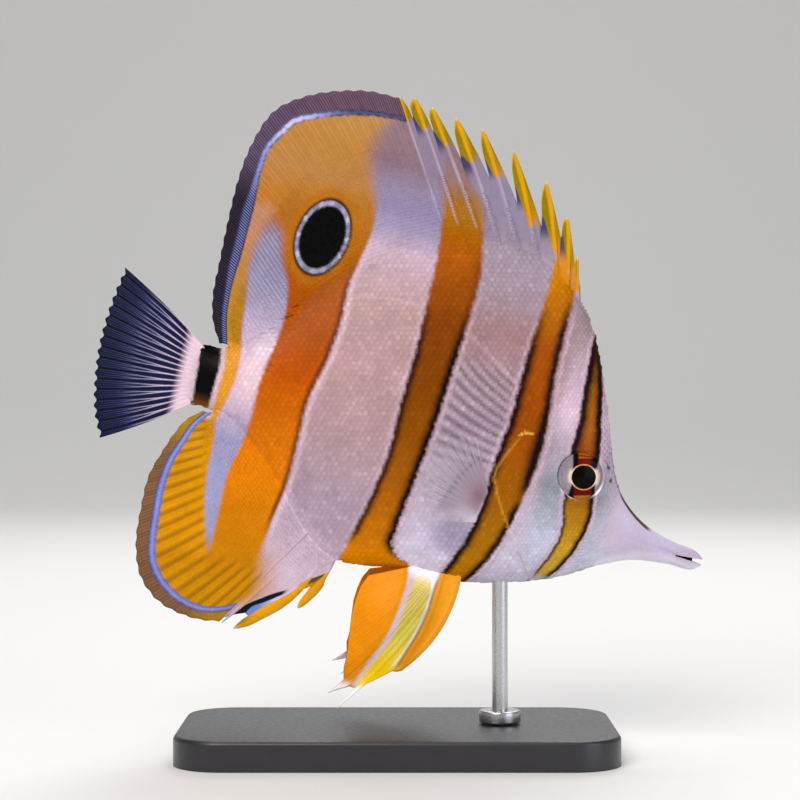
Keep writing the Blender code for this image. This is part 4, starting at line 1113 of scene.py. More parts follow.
def fanGrid(roots, margins, bows, rows, sink=2.2):
    # points from each root to its margin, bowed sideways, with the root sunk into the body
    roots, margins = np.array(roots, float), np.array(margins, float)
    inward = roots - margins
    reach = np.linalg.norm(inward, axis=1, keepdims=True)
    roots = roots + inward / reach * sink
    along = margins - roots
    side = np.stack([-along[:, 1], along[:, 0]], axis=1) / np.linalg.norm(along, axis=1, keepdims=True)
    v = np.linspace(0, 1, rows)[None, :, None]
    bowed = np.asarray(bows)[:, None, None] * 4 * v * (1 - v)
    flat = roots[:, None] + along[:, None] * v + side[:, None] * bowed
    grid = np.zeros((*flat.shape[:2], 3))
    grid[..., 0], grid[..., 2] = flat[..., 0], flat[..., 1]
    return grid


def rayRidges(grid, phase, halfWidth=0.24, fork=(0.38, 0.7), forkWidth=0.17):
    # 1 on the crest of a ray and 0 on the web, forking once and again towards the margin
    v = fromRoot(grid)
    pitch = np.linalg.norm(np.gradient(grid, axis=0), axis=2) / np.gradient(phase)[:, None]
    offset = (phase - np.round(phase))[:, None]
    first = forkWidth * rise(fork[0], fork[0] + 0.35, v)
    second = forkWidth * 0.5 * rise(fork[1], fork[1] + 0.25, v)
    away = np.full(grid.shape[:2], 1e9)
    for one in (-1, 1):
        for two in (-1, 1):
            away = np.minimum(away, np.abs(offset - one * first - two * second) * pitch)
    width = halfWidth * (1 - 0.45 * v)
    return np.exp(-((away / width) ** 2) * 1.2)


def webThickness(grid, root, margin):
    return margin + (root - margin) * (1 - fromRoot(grid)) ** 2.0


def scalloped(margins, roots, phase, depth):
    # the margin dips between the rays
    inward = (roots - margins) / np.linalg.norm(roots - margins, axis=1, keepdims=True)
    return margins + inward * (depth * (0.5 - 0.5 * np.cos(circle * phase)))[:, None]


backFin = {
    "softRoot": [
        (50.6, 46.5), (37.7, 40.2), (28.3, 33.4), (21.4, 26.2), (16.5, 19.2), (12.6, 14.0), (8.3, 10.0),
        (5.2, 7.6),
    ],
    "softMargin": [
        (31.2, 76.3), (23.3, 76.1), (18.4, 75.0), (9.4, 71.4), (3.1, 66.6), (-0.8, 56.5), (-1.8, 47.9),
        (-1.8, 38.5), (-1.4, 28.0), (-0.8, 18.4), (0.6, 13.4), (3.4, 8.6),
    ],
    "softRays": 29, "columnsPerRay": 15, "rows": 90, "bow": -1.2,
    # half the width of the blue line, by the share of its length
    "blueHalf": [
        (0.0, 0.55), (0.2, 0.45), (0.4, 0.6), (0.58, 0.55), (0.67, 1.2), (0.79, 1.1), (0.87, 0.6),
        (1.0, 0.5),
    ],
    "spines": [
        ((83.8, 40.4), (82.1, 49.3), -0.3), ((80.6, 43.5), (77.2, 58.2), -0.4),
        ((77.2, 45.6), (70.1, 65.3), -0.6),
        ((71.6, 48.0), (60.7, 70.6), -0.6), ((66.6, 49.0), (52.1, 73.9), -0.5),
        ((62.0, 49.0), (45.4, 75.0), -0.4),
        ((57.9, 48.4), (39.2, 76.0), -0.3), ((53.6, 47.6), (34.6, 77.2), -0.2),
        ((50.2, 46.4), (30.9, 76.6), 0.0),
    ],
    "notches": [   # the lowest places of the free edge, each in front of the next spine
        (81.6, 47.6), (76.8, 53.0), (71.6, 54.6), (64.6, 58.6), (56.6, 62.9), (48.9, 65.6), (40.9, 70.3),
        (35.4, 72.2),
    ],
    "columnsPerSpine": 26, "spineRows": 84, "spineHalfWidth": (0.5, 0.3), "spineHalfThick": (0.5, 0.2),
    # how far yellow runs down from each tip: along the spine, and as a share of the web's free edge
    "flameFront": [8.0, 13.0, 17.5, 19.0, 12.5, 11.5, 10.0, 8.3, 6.5],
    "flameRear": [0.9, 0.9, 0.8, 0.7, 0.6, 0.93, 1.0, 0.85, 0.9],
}


def paintSoftBack(grid, ridges, phase):
    # orange web, blue line, and a rayed translucent rim outside it
    x, z, v = grid[..., 0], grid[..., 2], fromRoot(grid)
    clear = rise(1.2, 1.4, ocellusRadius(x, z))
    away, share, outside = distanceTo(markings["backBlue"], x, z)
    fine = wave(phase * 5)[:, None]
    rim = layAll(
        plain(x, ink["backRim"]),
        (ink["backRimRear"], rise(0.3, 0.55, share)),
        ("#a98b9c", 0.08 * ridges + 0.34 * fine**2),
        ("#9c7c18", 0.8 * (1 - rise(0.15, 0.175, share))),
        ("#100a18", 0.96 * rise(0.52, 0.66, share) * (1 - 0.2 * fine)),
    )
    half = np.interp(share, *zip(*backFin["blueHalf"]))
    line = 1 - rise(half, half + 0.3, away)
    blue = layAll(
        plain(x, ink["backBlueDeep"]),
        (ink["backBlue"], rise(0.28, 0.4, share)),
        ("#cdcdf4", 0.85 * bell(share, 0.44, 0.07)),
        ("#8b90c6", 0.8 * rise(0.54, 0.62, share)),
        ("#10143a", 0.98 * (1 - fine**3) * rise(0.56, 0.65, share)),
        ("#1d2444", 0.75 * rise(half * 0.55, half * 0.95, away)),
    )
    colour = layAll(
        fishColours(x, z),
        ("#a9722a", 0.1 * (1 - ridges) * rise(0.25, 0.7, v) * clear),
        ("#e8c9a0", 0.1 * ridges * rise(0.4, 0.8, v) * clear),
        (rim, outside),
        (blue, line),
    )
    return colour, 1 - outside * (1 - line) * 0.05 * (1 - ridges)


def makeSoftFin(name, node, form, paint, material):
    phase, share = raySpread(form["softRays"], form["columnsPerRay"])
    roots = curveThrough(form["softRoot"])(share)
    margins = scalloped(curveThrough(form["softMargin"])(share), roots, phase, 0.3)
    grid = fanGrid(roots, margins, form["bow"] * np.minimum(1, share / 0.2), form["rows"])
    ridges, v = rayRidges(grid, phase), fromRoot(grid)
    half = webThickness(grid, 1.15, 0.13) + ridges * (0.05 * rise(0.08, 0.3, v) + 0.09 * rise(0.5, 0.85, v))
    newPiece(name, finSheet(name, grid, half, *paint(grid, ridges, phase)), material, (node,))
    return grid, half


def spinyGrid():
    # columns from spine to spine, whose margin falls from each tip to the notch before the next spine
    spines, notches, per = backFin["spines"], np.array(backFin["notches"]), backFin["columnsPerSpine"]
    wideLow, wideHigh = backFin["spineHalfWidth"]
    columns = []

    def ends(i):
        return (np.array(value) for value in spines[i])

    def frontOf(i):
        root, tip, _ = ends(i)
        along = tip - root
        return np.array([along[1], -along[0]]) / np.linalg.norm(along)

    def flank(i, offsets):
        # columns along one side of a spine: positive offsets in front of it
        root, tip, bow = ends(i)
        along = (tip - root) / np.linalg.norm(tip - root)
        for offset in offsets:
            margin = tip + frontOf(i) * offset * wideHigh - along * 0.8 * offset**2
            columns.append((root + frontOf(i) * offset * wideLow, margin, bow, i, -abs(offset)))

    first, firstTip, _ = ends(0)
    for t in np.linspace(0, 1, 8)[:-1]:
        lead = np.array([1.3, -1.0]) * (1 - t)
        margin = first + lead * 0.7 + (firstTip - first) * (0.35 + 0.6 * t**2)
        columns.append((first + lead, margin, -0.3 * t, 0, -1.0))
    for i in range(len(spines) - 1):
        root, tip, bow = ends(i)
        nextRoot, nextTip, nextBow = ends(i + 1)
        reach = np.linalg.norm(notches[i] - nextRoot) / np.linalg.norm(nextTip - nextRoot)
        outward = (tip - nextTip) / np.linalg.norm(tip - nextTip)
        last = 1 - 1.3 * wideLow / np.linalg.norm(root - nextRoot)
        for t in np.linspace(0, 1, per):
            eased = t**0.75
            bulge = 1.3 * math.sin(math.pi * t**0.8) * (1 - t)
            margin = tip * (1 - eased) + notches[i] * eased - outward * bulge
            across = t * last
            bowed = bow * (1 - t) + nextBow * reach * t
            columns.append((root * (1 - across) + nextRoot * across, margin, bowed, i, t))
        tipFront = nextTip + frontOf(i + 1) * wideHigh
        for k in np.linspace(0.1, 0.9, 7):
            margin = notches[i] * (1 - k) + tipFront * k + outward * 0.35 * math.sin(math.pi * k)
            near = last + (1 - last) * 0.35 * k
            bowed = nextBow * (reach + (1 - reach) * k)
            columns.append((root * (1 - near) + nextRoot * near, margin, bowed, i + 1, -1.0))
        flank(i + 1, (1.0, 0.6))
    columns.append((*spines[-1], len(spines) - 1, 0.0))
    flank(len(spines) - 1, (-0.7, -1.3, -2.0))
    return (np.array([column[k] for column in columns], float) for k in range(5))


def fromSpine(spine, x, z):
    # distance to a spine, and the share of its length at the nearest place
    share = np.linspace(0, 1, len(spine))
    away, at = np.full(x.shape, 1e9), np.zeros(x.shape)
    for k in range(len(spine) - 1):
        a, d = spine[k, [0, 2]], spine[k + 1, [0, 2]] - spine[k, [0, 2]]
        t = np.clip(((x - a[0]) * d[0] + (z - a[1]) * d[1]) / (d @ d), 0, 1)
        here = np.hypot(x - a[0] - t * d[0], z - a[1] - t * d[1])
        at = np.where(here < away, share[k] + t * (share[k + 1] - share[k]), at)
        away = np.minimum(away, here)
    return away, at


def makeSpinyBack(name, node, material):
    roots, margins, bows, spineOf, shareOf = spinyGrid()
    grid = fanGrid(roots, margins, bows, backFin["spineRows"])
    x, z, v = grid[..., 0], grid[..., 2], fromRoot(grid)
    lengths = rowLengths(grid)
    toMargin = lengths[:, -1:] - lengths
    starts = [np.flatnonzero((spineOf == i) & (shareOf == 0.0))[0] for i in range(len(backFin["spines"]))]
    inFrontOf = (shareOf < -0.9)[:, None]
    shareOf = np.maximum(shareOf, 0.0)
    (wideLow, wideHigh), (deepLow, deepHigh) = backFin["spineHalfWidth"], backFin["spineHalfThick"]
    ridges, fromSpines = [], []
    thick = np.zeros(x.shape)
    for column in starts:
        away, at = np.full(x.shape, 1e9), np.zeros(x.shape)
        near = np.abs(np.arange(len(grid)) - column) <= backFin["columnsPerSpine"] + 14
        away[near], at[near] = fromSpine(grid[column], x[near], z[near])
        crest = np.sqrt(np.maximum(0, 1 - (away / (wideLow + (wideHigh - wideLow) * at)) ** 2))
        ridges.append(crest)
        fromSpines.append(away)
        thick = np.maximum(thick, (deepLow + (deepHigh - deepLow) * at) * crest * rise(0.1, 0.35, at))
    half = np.maximum(webThickness(grid, 1.15, 0.13), thick)

    onRidge = np.max(ridges, axis=0)
    colour = layAll(
        fishColours(x, z),
        ("#8d8098", 0.6 * rise(0.1, 0.4, v) * (1 - 0.8 * inBands(x, z))),
        (ink["spine"], 0.5 * rise(0.5, 0.9, onRidge) * rise(0.15, 0.35, v)),
    )
    # yellow flame at each tip, with a slate patch under it on the web
    for i, column in enumerate(starts):
        tip = grid[column, -1]
        notch = np.array(backFin["notches"][min(i, 7)])
        frontReach = backFin["flameFront"][i]
        rearReach = backFin["flameRear"][i] * np.linalg.norm(notch - tip[[0, 2]])
        own, t = (spineOf == i)[:, None] * np.ones(x.shape), shareOf[:, None]
        fromTip = np.hypot(x - tip[0], z - tip[2])
        limit = frontReach + (rearReach - frontReach) * rise(0.02, 0.5, t)
        slate = own * (1 - rise(rearReach + 2.5, rearReach + 6.5, fromTip)) * rise(0.03, 0.2, t)
        onSpine = rise(0.0, 0.4, ridges[i]) * (1 - rise(frontReach - 0.6, frontReach + 0.6, fromTip))
        inLeaf = own * (1 - rise(limit - 0.5, limit + 0.5, fromTip))
        inFront = own * inFrontOf * (1 - rise(0.92 * frontReach, 1.02 * frontReach, fromTip))
        green = rise(0.3, 0.8, fromSpines[i]) * rise(0.25, 0.75, toMargin)
        paint = layAll(
            plain(x, ink["flame"]),
            (ink["flameGreen"], np.maximum(green, inFrontOf * rise(0.3, 0.9, fromTip / frontReach))),
            ("#d88a0c", 0.6 * rise(0.5, 1.0, fromTip / frontReach) * (1 - rise(3.5, 5.5, i))),
        )
        colour = layAll(
            colour,
            (ink["slate"], 0.9 * slate * (i > 0) * (1 - 0.7 * rise(0.5, 0.9, onRidge))),
            (paint, np.maximum(np.maximum(inLeaf * (1 - inFrontOf), onSpine), inFront)),
            ("#e9c84a", own * (1 - rise(0.25, 0.7, fromTip))),
        )
    newPiece(name, finSheet(name, grid, half, colour), material, (node,))
    return grid, half


def inBands(x, z):
    covered = np.zeros(np.shape(x))
    for name in ("midBand", "frontBand"):
        inside = np.minimum(x - edgeX(name + "Rear", z), edgeX(name + "Front", z) - x)
        covered = np.maximum(covered, rise(-0.5, 0.5, inside))
    return covered


analFin = {
    "spinePaths": [
        [(43.0, -33.0), (42.0, -38.0), (40.0, -42.8), (37.0, -48.4)],
        [
            (41.0, -31.4), (38.6, -39.0), (35.9, -44.7), (33.2, -47.9), (29.8, -51.0), (26.6, -54.0),
            (23.2, -56.9),
        ],
        [(36.6, -30.4), (29.2, -43.2), (20.2, -56.2)],
    ],
    # half the width of each blade, from its root to its tip
    "spineWidths": [
        [(0.0, 0.5), (0.3, 0.45), (0.6, 1.25), (0.85, 0.95), (0.96, 0.55), (1.0, 0.1)],
        [(0.0, 0.6), (0.42, 0.75), (0.55, 1.1), (0.7, 1.35), (0.84, 1.2), (0.94, 0.75), (1.0, 0.1)],
        [(0.0, 0.6), (0.8, 0.5), (1.0, 0.15)],
    ],
    "spineHalfThick": 0.6,
    "web": [
        ((43.2, -34.4), (40.9, -41.2)), ((41.7, -34.2), (37.4, -43.6)), ((40.2, -33.8), (34.2, -47.0)),
        ((38.8, -33.2), (30.2, -50.8)), ((37.4, -32.2), (26.6, -53.4)), ((36.4, -31.8), (25.0, -52.6)),
        ((35.5, -31.2), (22.6, -53.6)), ((34.3, -30.4), (18.9, -55.7)),
    ],
    "foldEdge": [(35.6, -43.4), (32.6, -46.0), (30.5, -47.6), (28.7, -48.9), (26.3, -50.5), (24.6, -53.1)],
    "softRoot": [(34.9, -30.8), (29.5, -25.5), (23.3, -18.8), (16.1, -12.4), (9.3, -8.0), (5.4, -6.8)],
    "softMargin": [
        (19.6, -56.1), (15.6, -56.8), (9.1, -56.5), (4.6, -55.2), (-1.6, -50.1), (-4.4, -43.2),
        (-5.4, -34.0),
        (-5.4, -26.0), (-3.6, -19.6), (-2.0, -15.0), (0.0, -11.1), (3.4, -8.0),
    ],
    "fleshEdge": [
        (46.0, -35.5), (42.2, -38.1), (38.9, -40.3), (37.1, -41.5), (35.4, -43.2), (33.3, -44.6),
        (30.2, -46.4),
        (27.8, -48.1), (25.7, -49.6), (23.4, -51.6), (20.5, -54.5),
    ],
    "softRays": 21, "columnsPerRay": 13, "rows": 92, "bow": 1.0,
    "blueHalf": [(0.0, 0.4), (0.1, 0.6), (0.3, 0.8), (0.6, 0.78), (0.85, 0.55), (1.0, 0.35)],
}


def paintSoftAnal(grid, ridges, phase):
    # gold web with brown streaks between the rays, blue line, and a finely rayed rim
    x, z = grid[..., 0], grid[..., 2]
    away, share, outside = distanceTo(markings["analBlue"], x, z)
    behind = rise(1.0, -1.0, x - edgeX("wedgeRear", z))
    stripe = ((0.5 - 0.5 * np.cos(circle * phase))[:, None] ** 1.5) ** 1.4
    streaked = np.maximum(behind, rise(-38.0, -44.0, z)) * (1 - outside)
    inner = 1 - (rise(0.72, 0.85, share) + (1 - rise(0.08, 0.22, share)))
    fine = wave(phase * 4)[:, None]
    rim = layAll(
        plain(x, ink["analRim"]),
        ("#b08416", 0.85 * (1 - inner)),
        ("#a8806c", 0.4 * fine * inner),
        ("#4a302c", 0.3 * (1 - ridges) * inner),
    )
    half = np.interp(share, *zip(*analFin["blueHalf"]))
    line = 1 - rise(half, half + 0.3, away)
    blue = layAll(
        plain(x, ink["analBlue"]),
        ("#3d4688", 0.22 * (1 - fine)),
        ("#a3b0e8", 0.4 * (1 - rise(0.1, 0.4, away))),
        ("#6d5d8c", 0.5 * rise(0.8, 0.95, share)),
        ("#2f3768", (0.35 + 0.5 * outside) * rise(half * 0.6, half * 1.1, away)),
    )
    colour = layAll(
        fishColours(x, z),
        ("#6e4404", 0.52 * stripe * rise(0.35, 0.6, fromRoot(grid)) * streaked),
        (rim, outside),
        (blue, line),
    )
    return colour, 1 - outside * (1 - line) * 0.05 * (1 - ridges)


def beyondFlesh(x, z):
    # how far a place lies outside the flesh of the anal fin's front
    away, _, above = distanceTo(analFin["fleshEdge"], x, z)
    return away * (1 - 2 * above)


def paintAnalWeb(x, z):
    # pale flesh down to its edge, then a dark fold and a blue line over the long spine's blade
    beyond = beyondFlesh(x, z)
    away, _, above = distanceTo(analFin["foldEdge"], x, z)
    blue = shadeAlong(x, [(23, "#5f7ac0"), (28, "#6f8ad0"), (31, "#c3c4e8"), (35, "#d9c3da")])
    return layAll(
        fishColours(x, z),
        ("#ab98ac", 0.8 * bell(beyond, -0.6, 0.6) * rise(29.0, 26.5, x)),
        ("#5a4812", rise(-0.1, 0.3, beyond) * rise(35.5, 37.0, x)),
        ("#c48a18", rise(0.9, 1.5, beyond) * rise(35.5, 37.0, x)),
        ("#0c1424", rise(0.0, 0.3, beyond) * rise(34.2, 32.4, x)),
        (blue, rise(0.0, 0.3, away * (1 - 2 * above)) * rise(37.0, 35.5, x)),
    )


def bladeColours(i, x, z, across, share):
    # the two outer blades are yellow with a lit front and a dusky rear edge, the third is pale blue
    if i == 2:
        colour, flesh = plain(x, "#a9b8e6"), 1 - rise(0.8, 0.92, share)
    else:
        colour = layAll(
            plain(x, "#e29c10"),
            ("#f7c850", 0.75 * rise(0.6, 0.95, across)),
            ("#4c3f0e", 0.8 * rise(-0.3, -0.9, across) * (i == 0) * rise(0.75, 0.5, share)),
            ("#6f6b2a", 0.8 * rise(0.3, -0.6, across) * (i == 1) * rise(0.78, 0.92, share)),
            ("#f3cf9a", 0.6 * rise(0.93, 1.0, share)),
        )
        flesh = rise(0.3, -0.3, beyondFlesh(x, z))
    return lay(colour, fishColours(x, z), flesh)


def makeAnalSpines(name, node, material):
    # three curved blades and the web between them, joined in one piece
    webs = np.array(analFin["web"], float)
    share = np.linspace(0, 1, 120)
    steps = np.linspace(0, 1, len(webs))
    roots, margins = (
        np.stack([np.interp(share, steps, webs[:, end, k]) for k in (0, 1)], axis=1) for end in (0, 1)
    )
    rows, columns = 90, 19
    web = fanGrid(roots, margins, np.zeros(len(share)), rows)
    webHalf = webThickness(web, 0.9, 0.14) * np.ones(web.shape[:2])
    bm = bmesh.new()
    parts = [finSheet("analWeb", web, webHalf, paintAnalWeb(web[..., 0], web[..., 2]))]
    share = np.linspace(0, 1, rows)
    across = np.sin(np.linspace(-math.pi / 2, math.pi / 2, columns))[:, None]
    for i, (path, widths) in enumerate(zip(analFin["spinePaths"], analFin["spineWidths"])):
        points = curveThrough(path)(share)
        along = np.gradient(points, axis=0)
        along /= np.linalg.norm(along, axis=1, keepdims=True)
        wide = heightAlong(widths)(share)
        x, z = points[:, 0] - along[:, 1] * wide * across, points[:, 1] + along[:, 0] * wide * across
        half = analFin["spineHalfThick"] * np.minimum(1, wide / 0.9) * np.sqrt(np.maximum(0, 1 - across**2))
        grid = np.stack([x, np.zeros(x.shape), z], axis=2)
        parts.append(finSheet("analSpine", grid, half, bladeColours(i, x, z, across, share[None, :])))
    for part in parts:
        bm.from_mesh(part)
        bpy.data.meshes.remove(part)
    newPiece(name, meshFrom(name, bm), material, (node,))
    return web, webHalf


tailFin = {
    "root": [(1.8, 5.6), (1.8, -5.6)],
    "margin": [
        (-23.2, 20.9), (-24.4, 13.7), (-25.0, 6.1), (-24.8, -1.3), (-23.7, -8.4), (-21.9, -15.0),
        (-19.2, -20.4),
    ],
    "rays": 17, "columnsPerRay": 16, "rows": 92, "flare": 0.7, "swing": 3.0, "reach": 25.0,
}


def makeTail(name, node, material):
    phase, share = raySpread(tailFin["rays"], tailFin["columnsPerRay"])
    roots = curveThrough(tailFin["root"])(share)
    margins = scalloped(curveThrough(tailFin["margin"])(share), roots, phase, 0.7)
    grid = fanGrid(roots, margins, tailFin["flare"] * (2 * share - 1), tailFin["rows"], 1.6)
    grid[..., 1] = tailFin["swing"] * (np.maximum(0, -grid[..., 0]) / tailFin["reach"]) ** 2
    ridges, v = rayRidges(grid, phase, 0.19, (0.3, 0.55), 0.2), fromRoot(grid)
    outermost = np.minimum(phase, tailFin["rays"] - 1 - phase)[:, None] < 0.6
    half = webThickness(grid, 1.2, 0.1) + 0.17 * ridges * rise(0.05, 0.25, v) * (1 + 0.5 * outermost)
    x, z = grid[..., 0], grid[..., 2]
    base = rise(-5.2, -2.4, x)
    colour = layAll(
        plain(x, ink["tailDeep"]),
        ("#0c0d24", rise(0.4, 0.8, v)),
        (lay(plain(x, ink["tailRay"]), "#39428a", rise(0.36, 0.85, v)), 0.95 * ridges**1.5),
        ("#0c0d24", 0.55 * rise(0.5, 0.95, v)),
        ("#e0c6d6", base + 0.8 * ridges * rise(-13, -3, x)),
        (ink["black"], rise(0.2, 0.6, x + 0.35 * np.abs(z) / 9 - 0.1)),
    )
    solid = np.clip(0.99 - 0.03 * rise(0.7, 1.0, v) + 0.3 * ridges + base, 0, 1)
    newPiece(name, finSheet(name, grid, half, colour, solid, normalsOf(grid)), material, (node,))


pelvicFin = {
    "lineZ": -31.4, "forwardX": 72.4, "rootY": 2.6, "seenSplay": 18.0,
    "pose": {"Right": (18.0, 0.0), "Left": (30.0, -1.5)},
    "columns": [
        # root x, margin point, ridge height, forward bow
        (72.5, (64.6, -55.7), 0.0, 3.2), (71.9, (63.6, -56.2), 0.75, 3.0), (71.2, (62.4, -56.4), 0.1, 2.6),
        (70.7, (58.2, -59.8), 0.1, 2.2), (70.2, (51.7, -67.8), 0.45, 1.9), (69.7, (54.3, -62.1), 0.1, 1.6),
        (69.2, (48.8, -64.7), 0.45, 1.4), (68.7, (51.7, -60.6), 0.1, 1.2), (68.2, (51.1, -58.2), 0.35, 1.0),
        (67.7, (51.1, -55.3), 0.1, 0.8), (67.2, (50.7, -52.1), 0.3, 0.7), (66.7, (50.3, -49.3), 0.1, 0.6),
        (66.2, (49.9, -45.9), 0.3, 0.5), (65.6, (50.0, -42.4), 0.1, 0.4), (65.0, (50.4, -39.2), 0.3, 0.3),
        (64.2, (51.6, -36.3), 0.0, 0.0),
    ],
    "lobeEdge": [
        (60.2, -31.4), (60.8, -35.0), (60.7, -39.3), (60.1, -44.4), (59.1, -49.0), (57.2, -53.8),
        (54.7, -60.0),
        (53.0, -64.0),
    ],
    "stripEdge": [
        (62.4, -31.4), (62.3, -34.6), (62.0, -39.6), (61.4, -44.7), (60.4, -49.3), (58.6, -53.4),
        (55.8, -59.7),
        (53.6, -64.5),
    ],
    "yellowEdge": [
        (65.6, -31.4), (66.1, -33.7), (66.9, -36.6), (66.8, -39.1), (66.2, -43.6), (65.1, -47.6),
        (63.6, -51.7),
        (62.0, -54.5), (61.0, -57.5),
    ],
    "lineEdge": [
        (68.0, -31.4), (67.8, -33.8), (67.6, -37.6), (67.1, -42.7), (66.0, -47.3), (64.6, -51.3),
        (63.3, -55.0),
        (62.0, -57.8),
    ],
    "columnsPerStep": 8, "rows": 76,
    "threads": (4, 6),   # the columns that end in a white thread
}


def pelvicColour(x, z, threads):
    # orange lobe behind, silver strip, yellow middle, white line and orange leading lobe
    lobe, strip, yellow, line = (
        edgeDown(pelvicFin[key])(z) for key in ("lobeEdge", "stripEdge", "yellowEdge", "lineEdge")
    )
    middle = layAll(
        shadeAlong(z, [
            (-64, "#f3cf18"), (-58, "#efc40a"), (-53, "#e0bf12"), (-48, "#c9bb1c"), (-42, "#c6b238"),
            (-37, "#d0b658"), (-34, "#e6cf80"), (-32, "#f0eaf2"),
        ]),
        ("#efe6c4", 0.3 * threads * rise(-56.0, -50.0, z)),
        ("#8c8412", 0.16 * (1 - threads) * rise(-34.0, -38.0, z) * rise(-60.0, -54.0, z)),
    )
    pale = shadeAlong(z, [(-57, "#e8cf60"), (-51, "#e6d9b4"), (-45, "#e6dce0"), (-33, "#f0eaf4")])
    front = shadeAlong(z, [(-58, "#e3a208"), (-54, "#d18604"), (-46, "#dc8e08"), (-34, "#e99a1a")])
    front = lay(front, "#f0a02a", 0.5 * rise(2.0, 3.4, x - line))
    return layAll(
        shadeAlong(z, [(-62, "#cf7c02"), (-52, "#e68a02"), (-42, "#f08f04"), (-34, "#f09006")]),
        ("#ff9f38", 0.5 * bell(x, 57, 4) * bell(z, -38, 5)),
        ("#c98e08", 0.6 * bell(x - lobe, -0.7, 0.6)),
        ("#cdb6bf", rise(-0.3, 0.3, x - lobe)),
        (middle, rise(-0.4, 0.4, x - strip)),
        (pale, rise(-0.3, 0.3, x - yellow) * rise(-57.0, -54.0, z)),
        (front, rise(-0.25, 0.25, x - line) * rise(-59.0, -57.0, z)),
        ("#5f3f0c", 0.85 * bell(x - line, -0.1, 0.28) * rise(-57, -54, z)),
        ("#b9741a", 0.5 * bell(x - line, 1.3, 0.35) * rise(-57, -54, z)),
        ("#f2edf6", rise(-35.5, -32.5, z) * rise(-0.5, 0.5, x - lobe) * rise(0.5, -0.5, x - line)),
    )


def makePelvic(sideName, side, material):
    given = pelvicFin["columns"]
    index = np.arange(len(given))
    at = np.linspace(0, len(given) - 1, (len(given) - 1) * pelvicFin["columnsPerStep"] + 1)
    rootX, bows = (np.interp(at, index, [column[k] for column in given]) for k in (0, 3))
    tips = np.array([column[1] for column in given], float)
    # the white threads run out past the plain margin
    edge = tips.copy()
    for k in pelvicFin["threads"]:
        level = (edge[k - 1] + edge[k + 1]) / 2
        edge[k] = level + (tips[k] - level) * 0.12
    margins = np.stack([np.interp(at, index, edge[:, k]) for k in (0, 1)], axis=1)
    thread = np.zeros(len(at))
    for k in pelvicFin["threads"]:
        pull = np.clip(1 - np.abs(at - k) / 0.62, 0, 1) ** 1.2
        margins += (tips[k] - edge[k]) * pull[:, None]
        thread = np.maximum(thread, pull)
    ridgeHeights = np.zeros(len(at))
    for k, column in enumerate(given):
        if column[2] >= 0.3:
            ridgeHeights = np.maximum(ridgeHeights, column[2] * bell(at, k, 0.42))
    fine = wave(at * 2.0)[:, None]
    lineZ, forwardX = pelvicFin["lineZ"], pelvicFin["forwardX"]
    roots = np.stack([rootX, np.full(len(at), lineZ + 1.0)], axis=1)
    flat = fanGrid(roots, margins, bows, pelvicFin["rows"], 1.6)
    splay, sweep = (math.radians(angle) for angle in pelvicFin["pose"][sideName])
    dx, dz = flat[..., 0] - forwardX, flat[..., 2] - lineZ
    x = forwardX + dx * math.cos(sweep) - dz * math.sin(sweep)
    z = lineZ + dx * math.sin(sweep) + dz * math.cos(sweep)
    drop = (lineZ - z) / math.cos(math.radians(pelvicFin["seenSplay"]))
    y = side * (pelvicFin["rootY"] + drop * math.sin(splay))
    grid = np.stack([x, y, lineZ - drop * math.cos(splay)], axis=2)
    v = fromRoot(grid)
    half = webThickness(grid, 0.75, 0.16) + ridgeHeights[:, None] * (1 - 0.55 * v) * 0.4
    half = half + 0.025 * fine * rise(0.2, 0.5, v)
    threads = wave(at * 1.5)[:, None] ** 2 * np.ones(flat.shape[:2])
    colour = pelvicColour(flat[..., 0], flat[..., 2], threads)
    colour = lay(colour, "#fbf6f4", rise(0.05, 0.3, thread)[:, None] * rise(-60.5, -62.5, flat[..., 2]))
    colour = colour * (1 - 0.05 * (1 - fine) * rise(0.25, 0.6, v))[..., None]
    name, node = "pelvicFin" + sideName, "pelvic_fin_" + sideName.lower()
    newPiece(name, finSheet(name, grid, half, colour, 1.0, normalsOf(grid)), material, (node,))


pectoralFin = {
    # lengths as seen from the side, from the top ray to the bottom ray
    "root": [(74.2, -10.6), (73.4, -17.6)],
    "fanDeg": (-64.0, 12.0), "lengths": [(0.0, 13.5), (0.2, 16.5), (0.4, 17.5), (0.7, 15.0), (1.0, 9.5)],
    "outDeg": 42.0, "sink": 1.6, "rays": 15, "columnsPerRay": 12, "rows": 64,
}


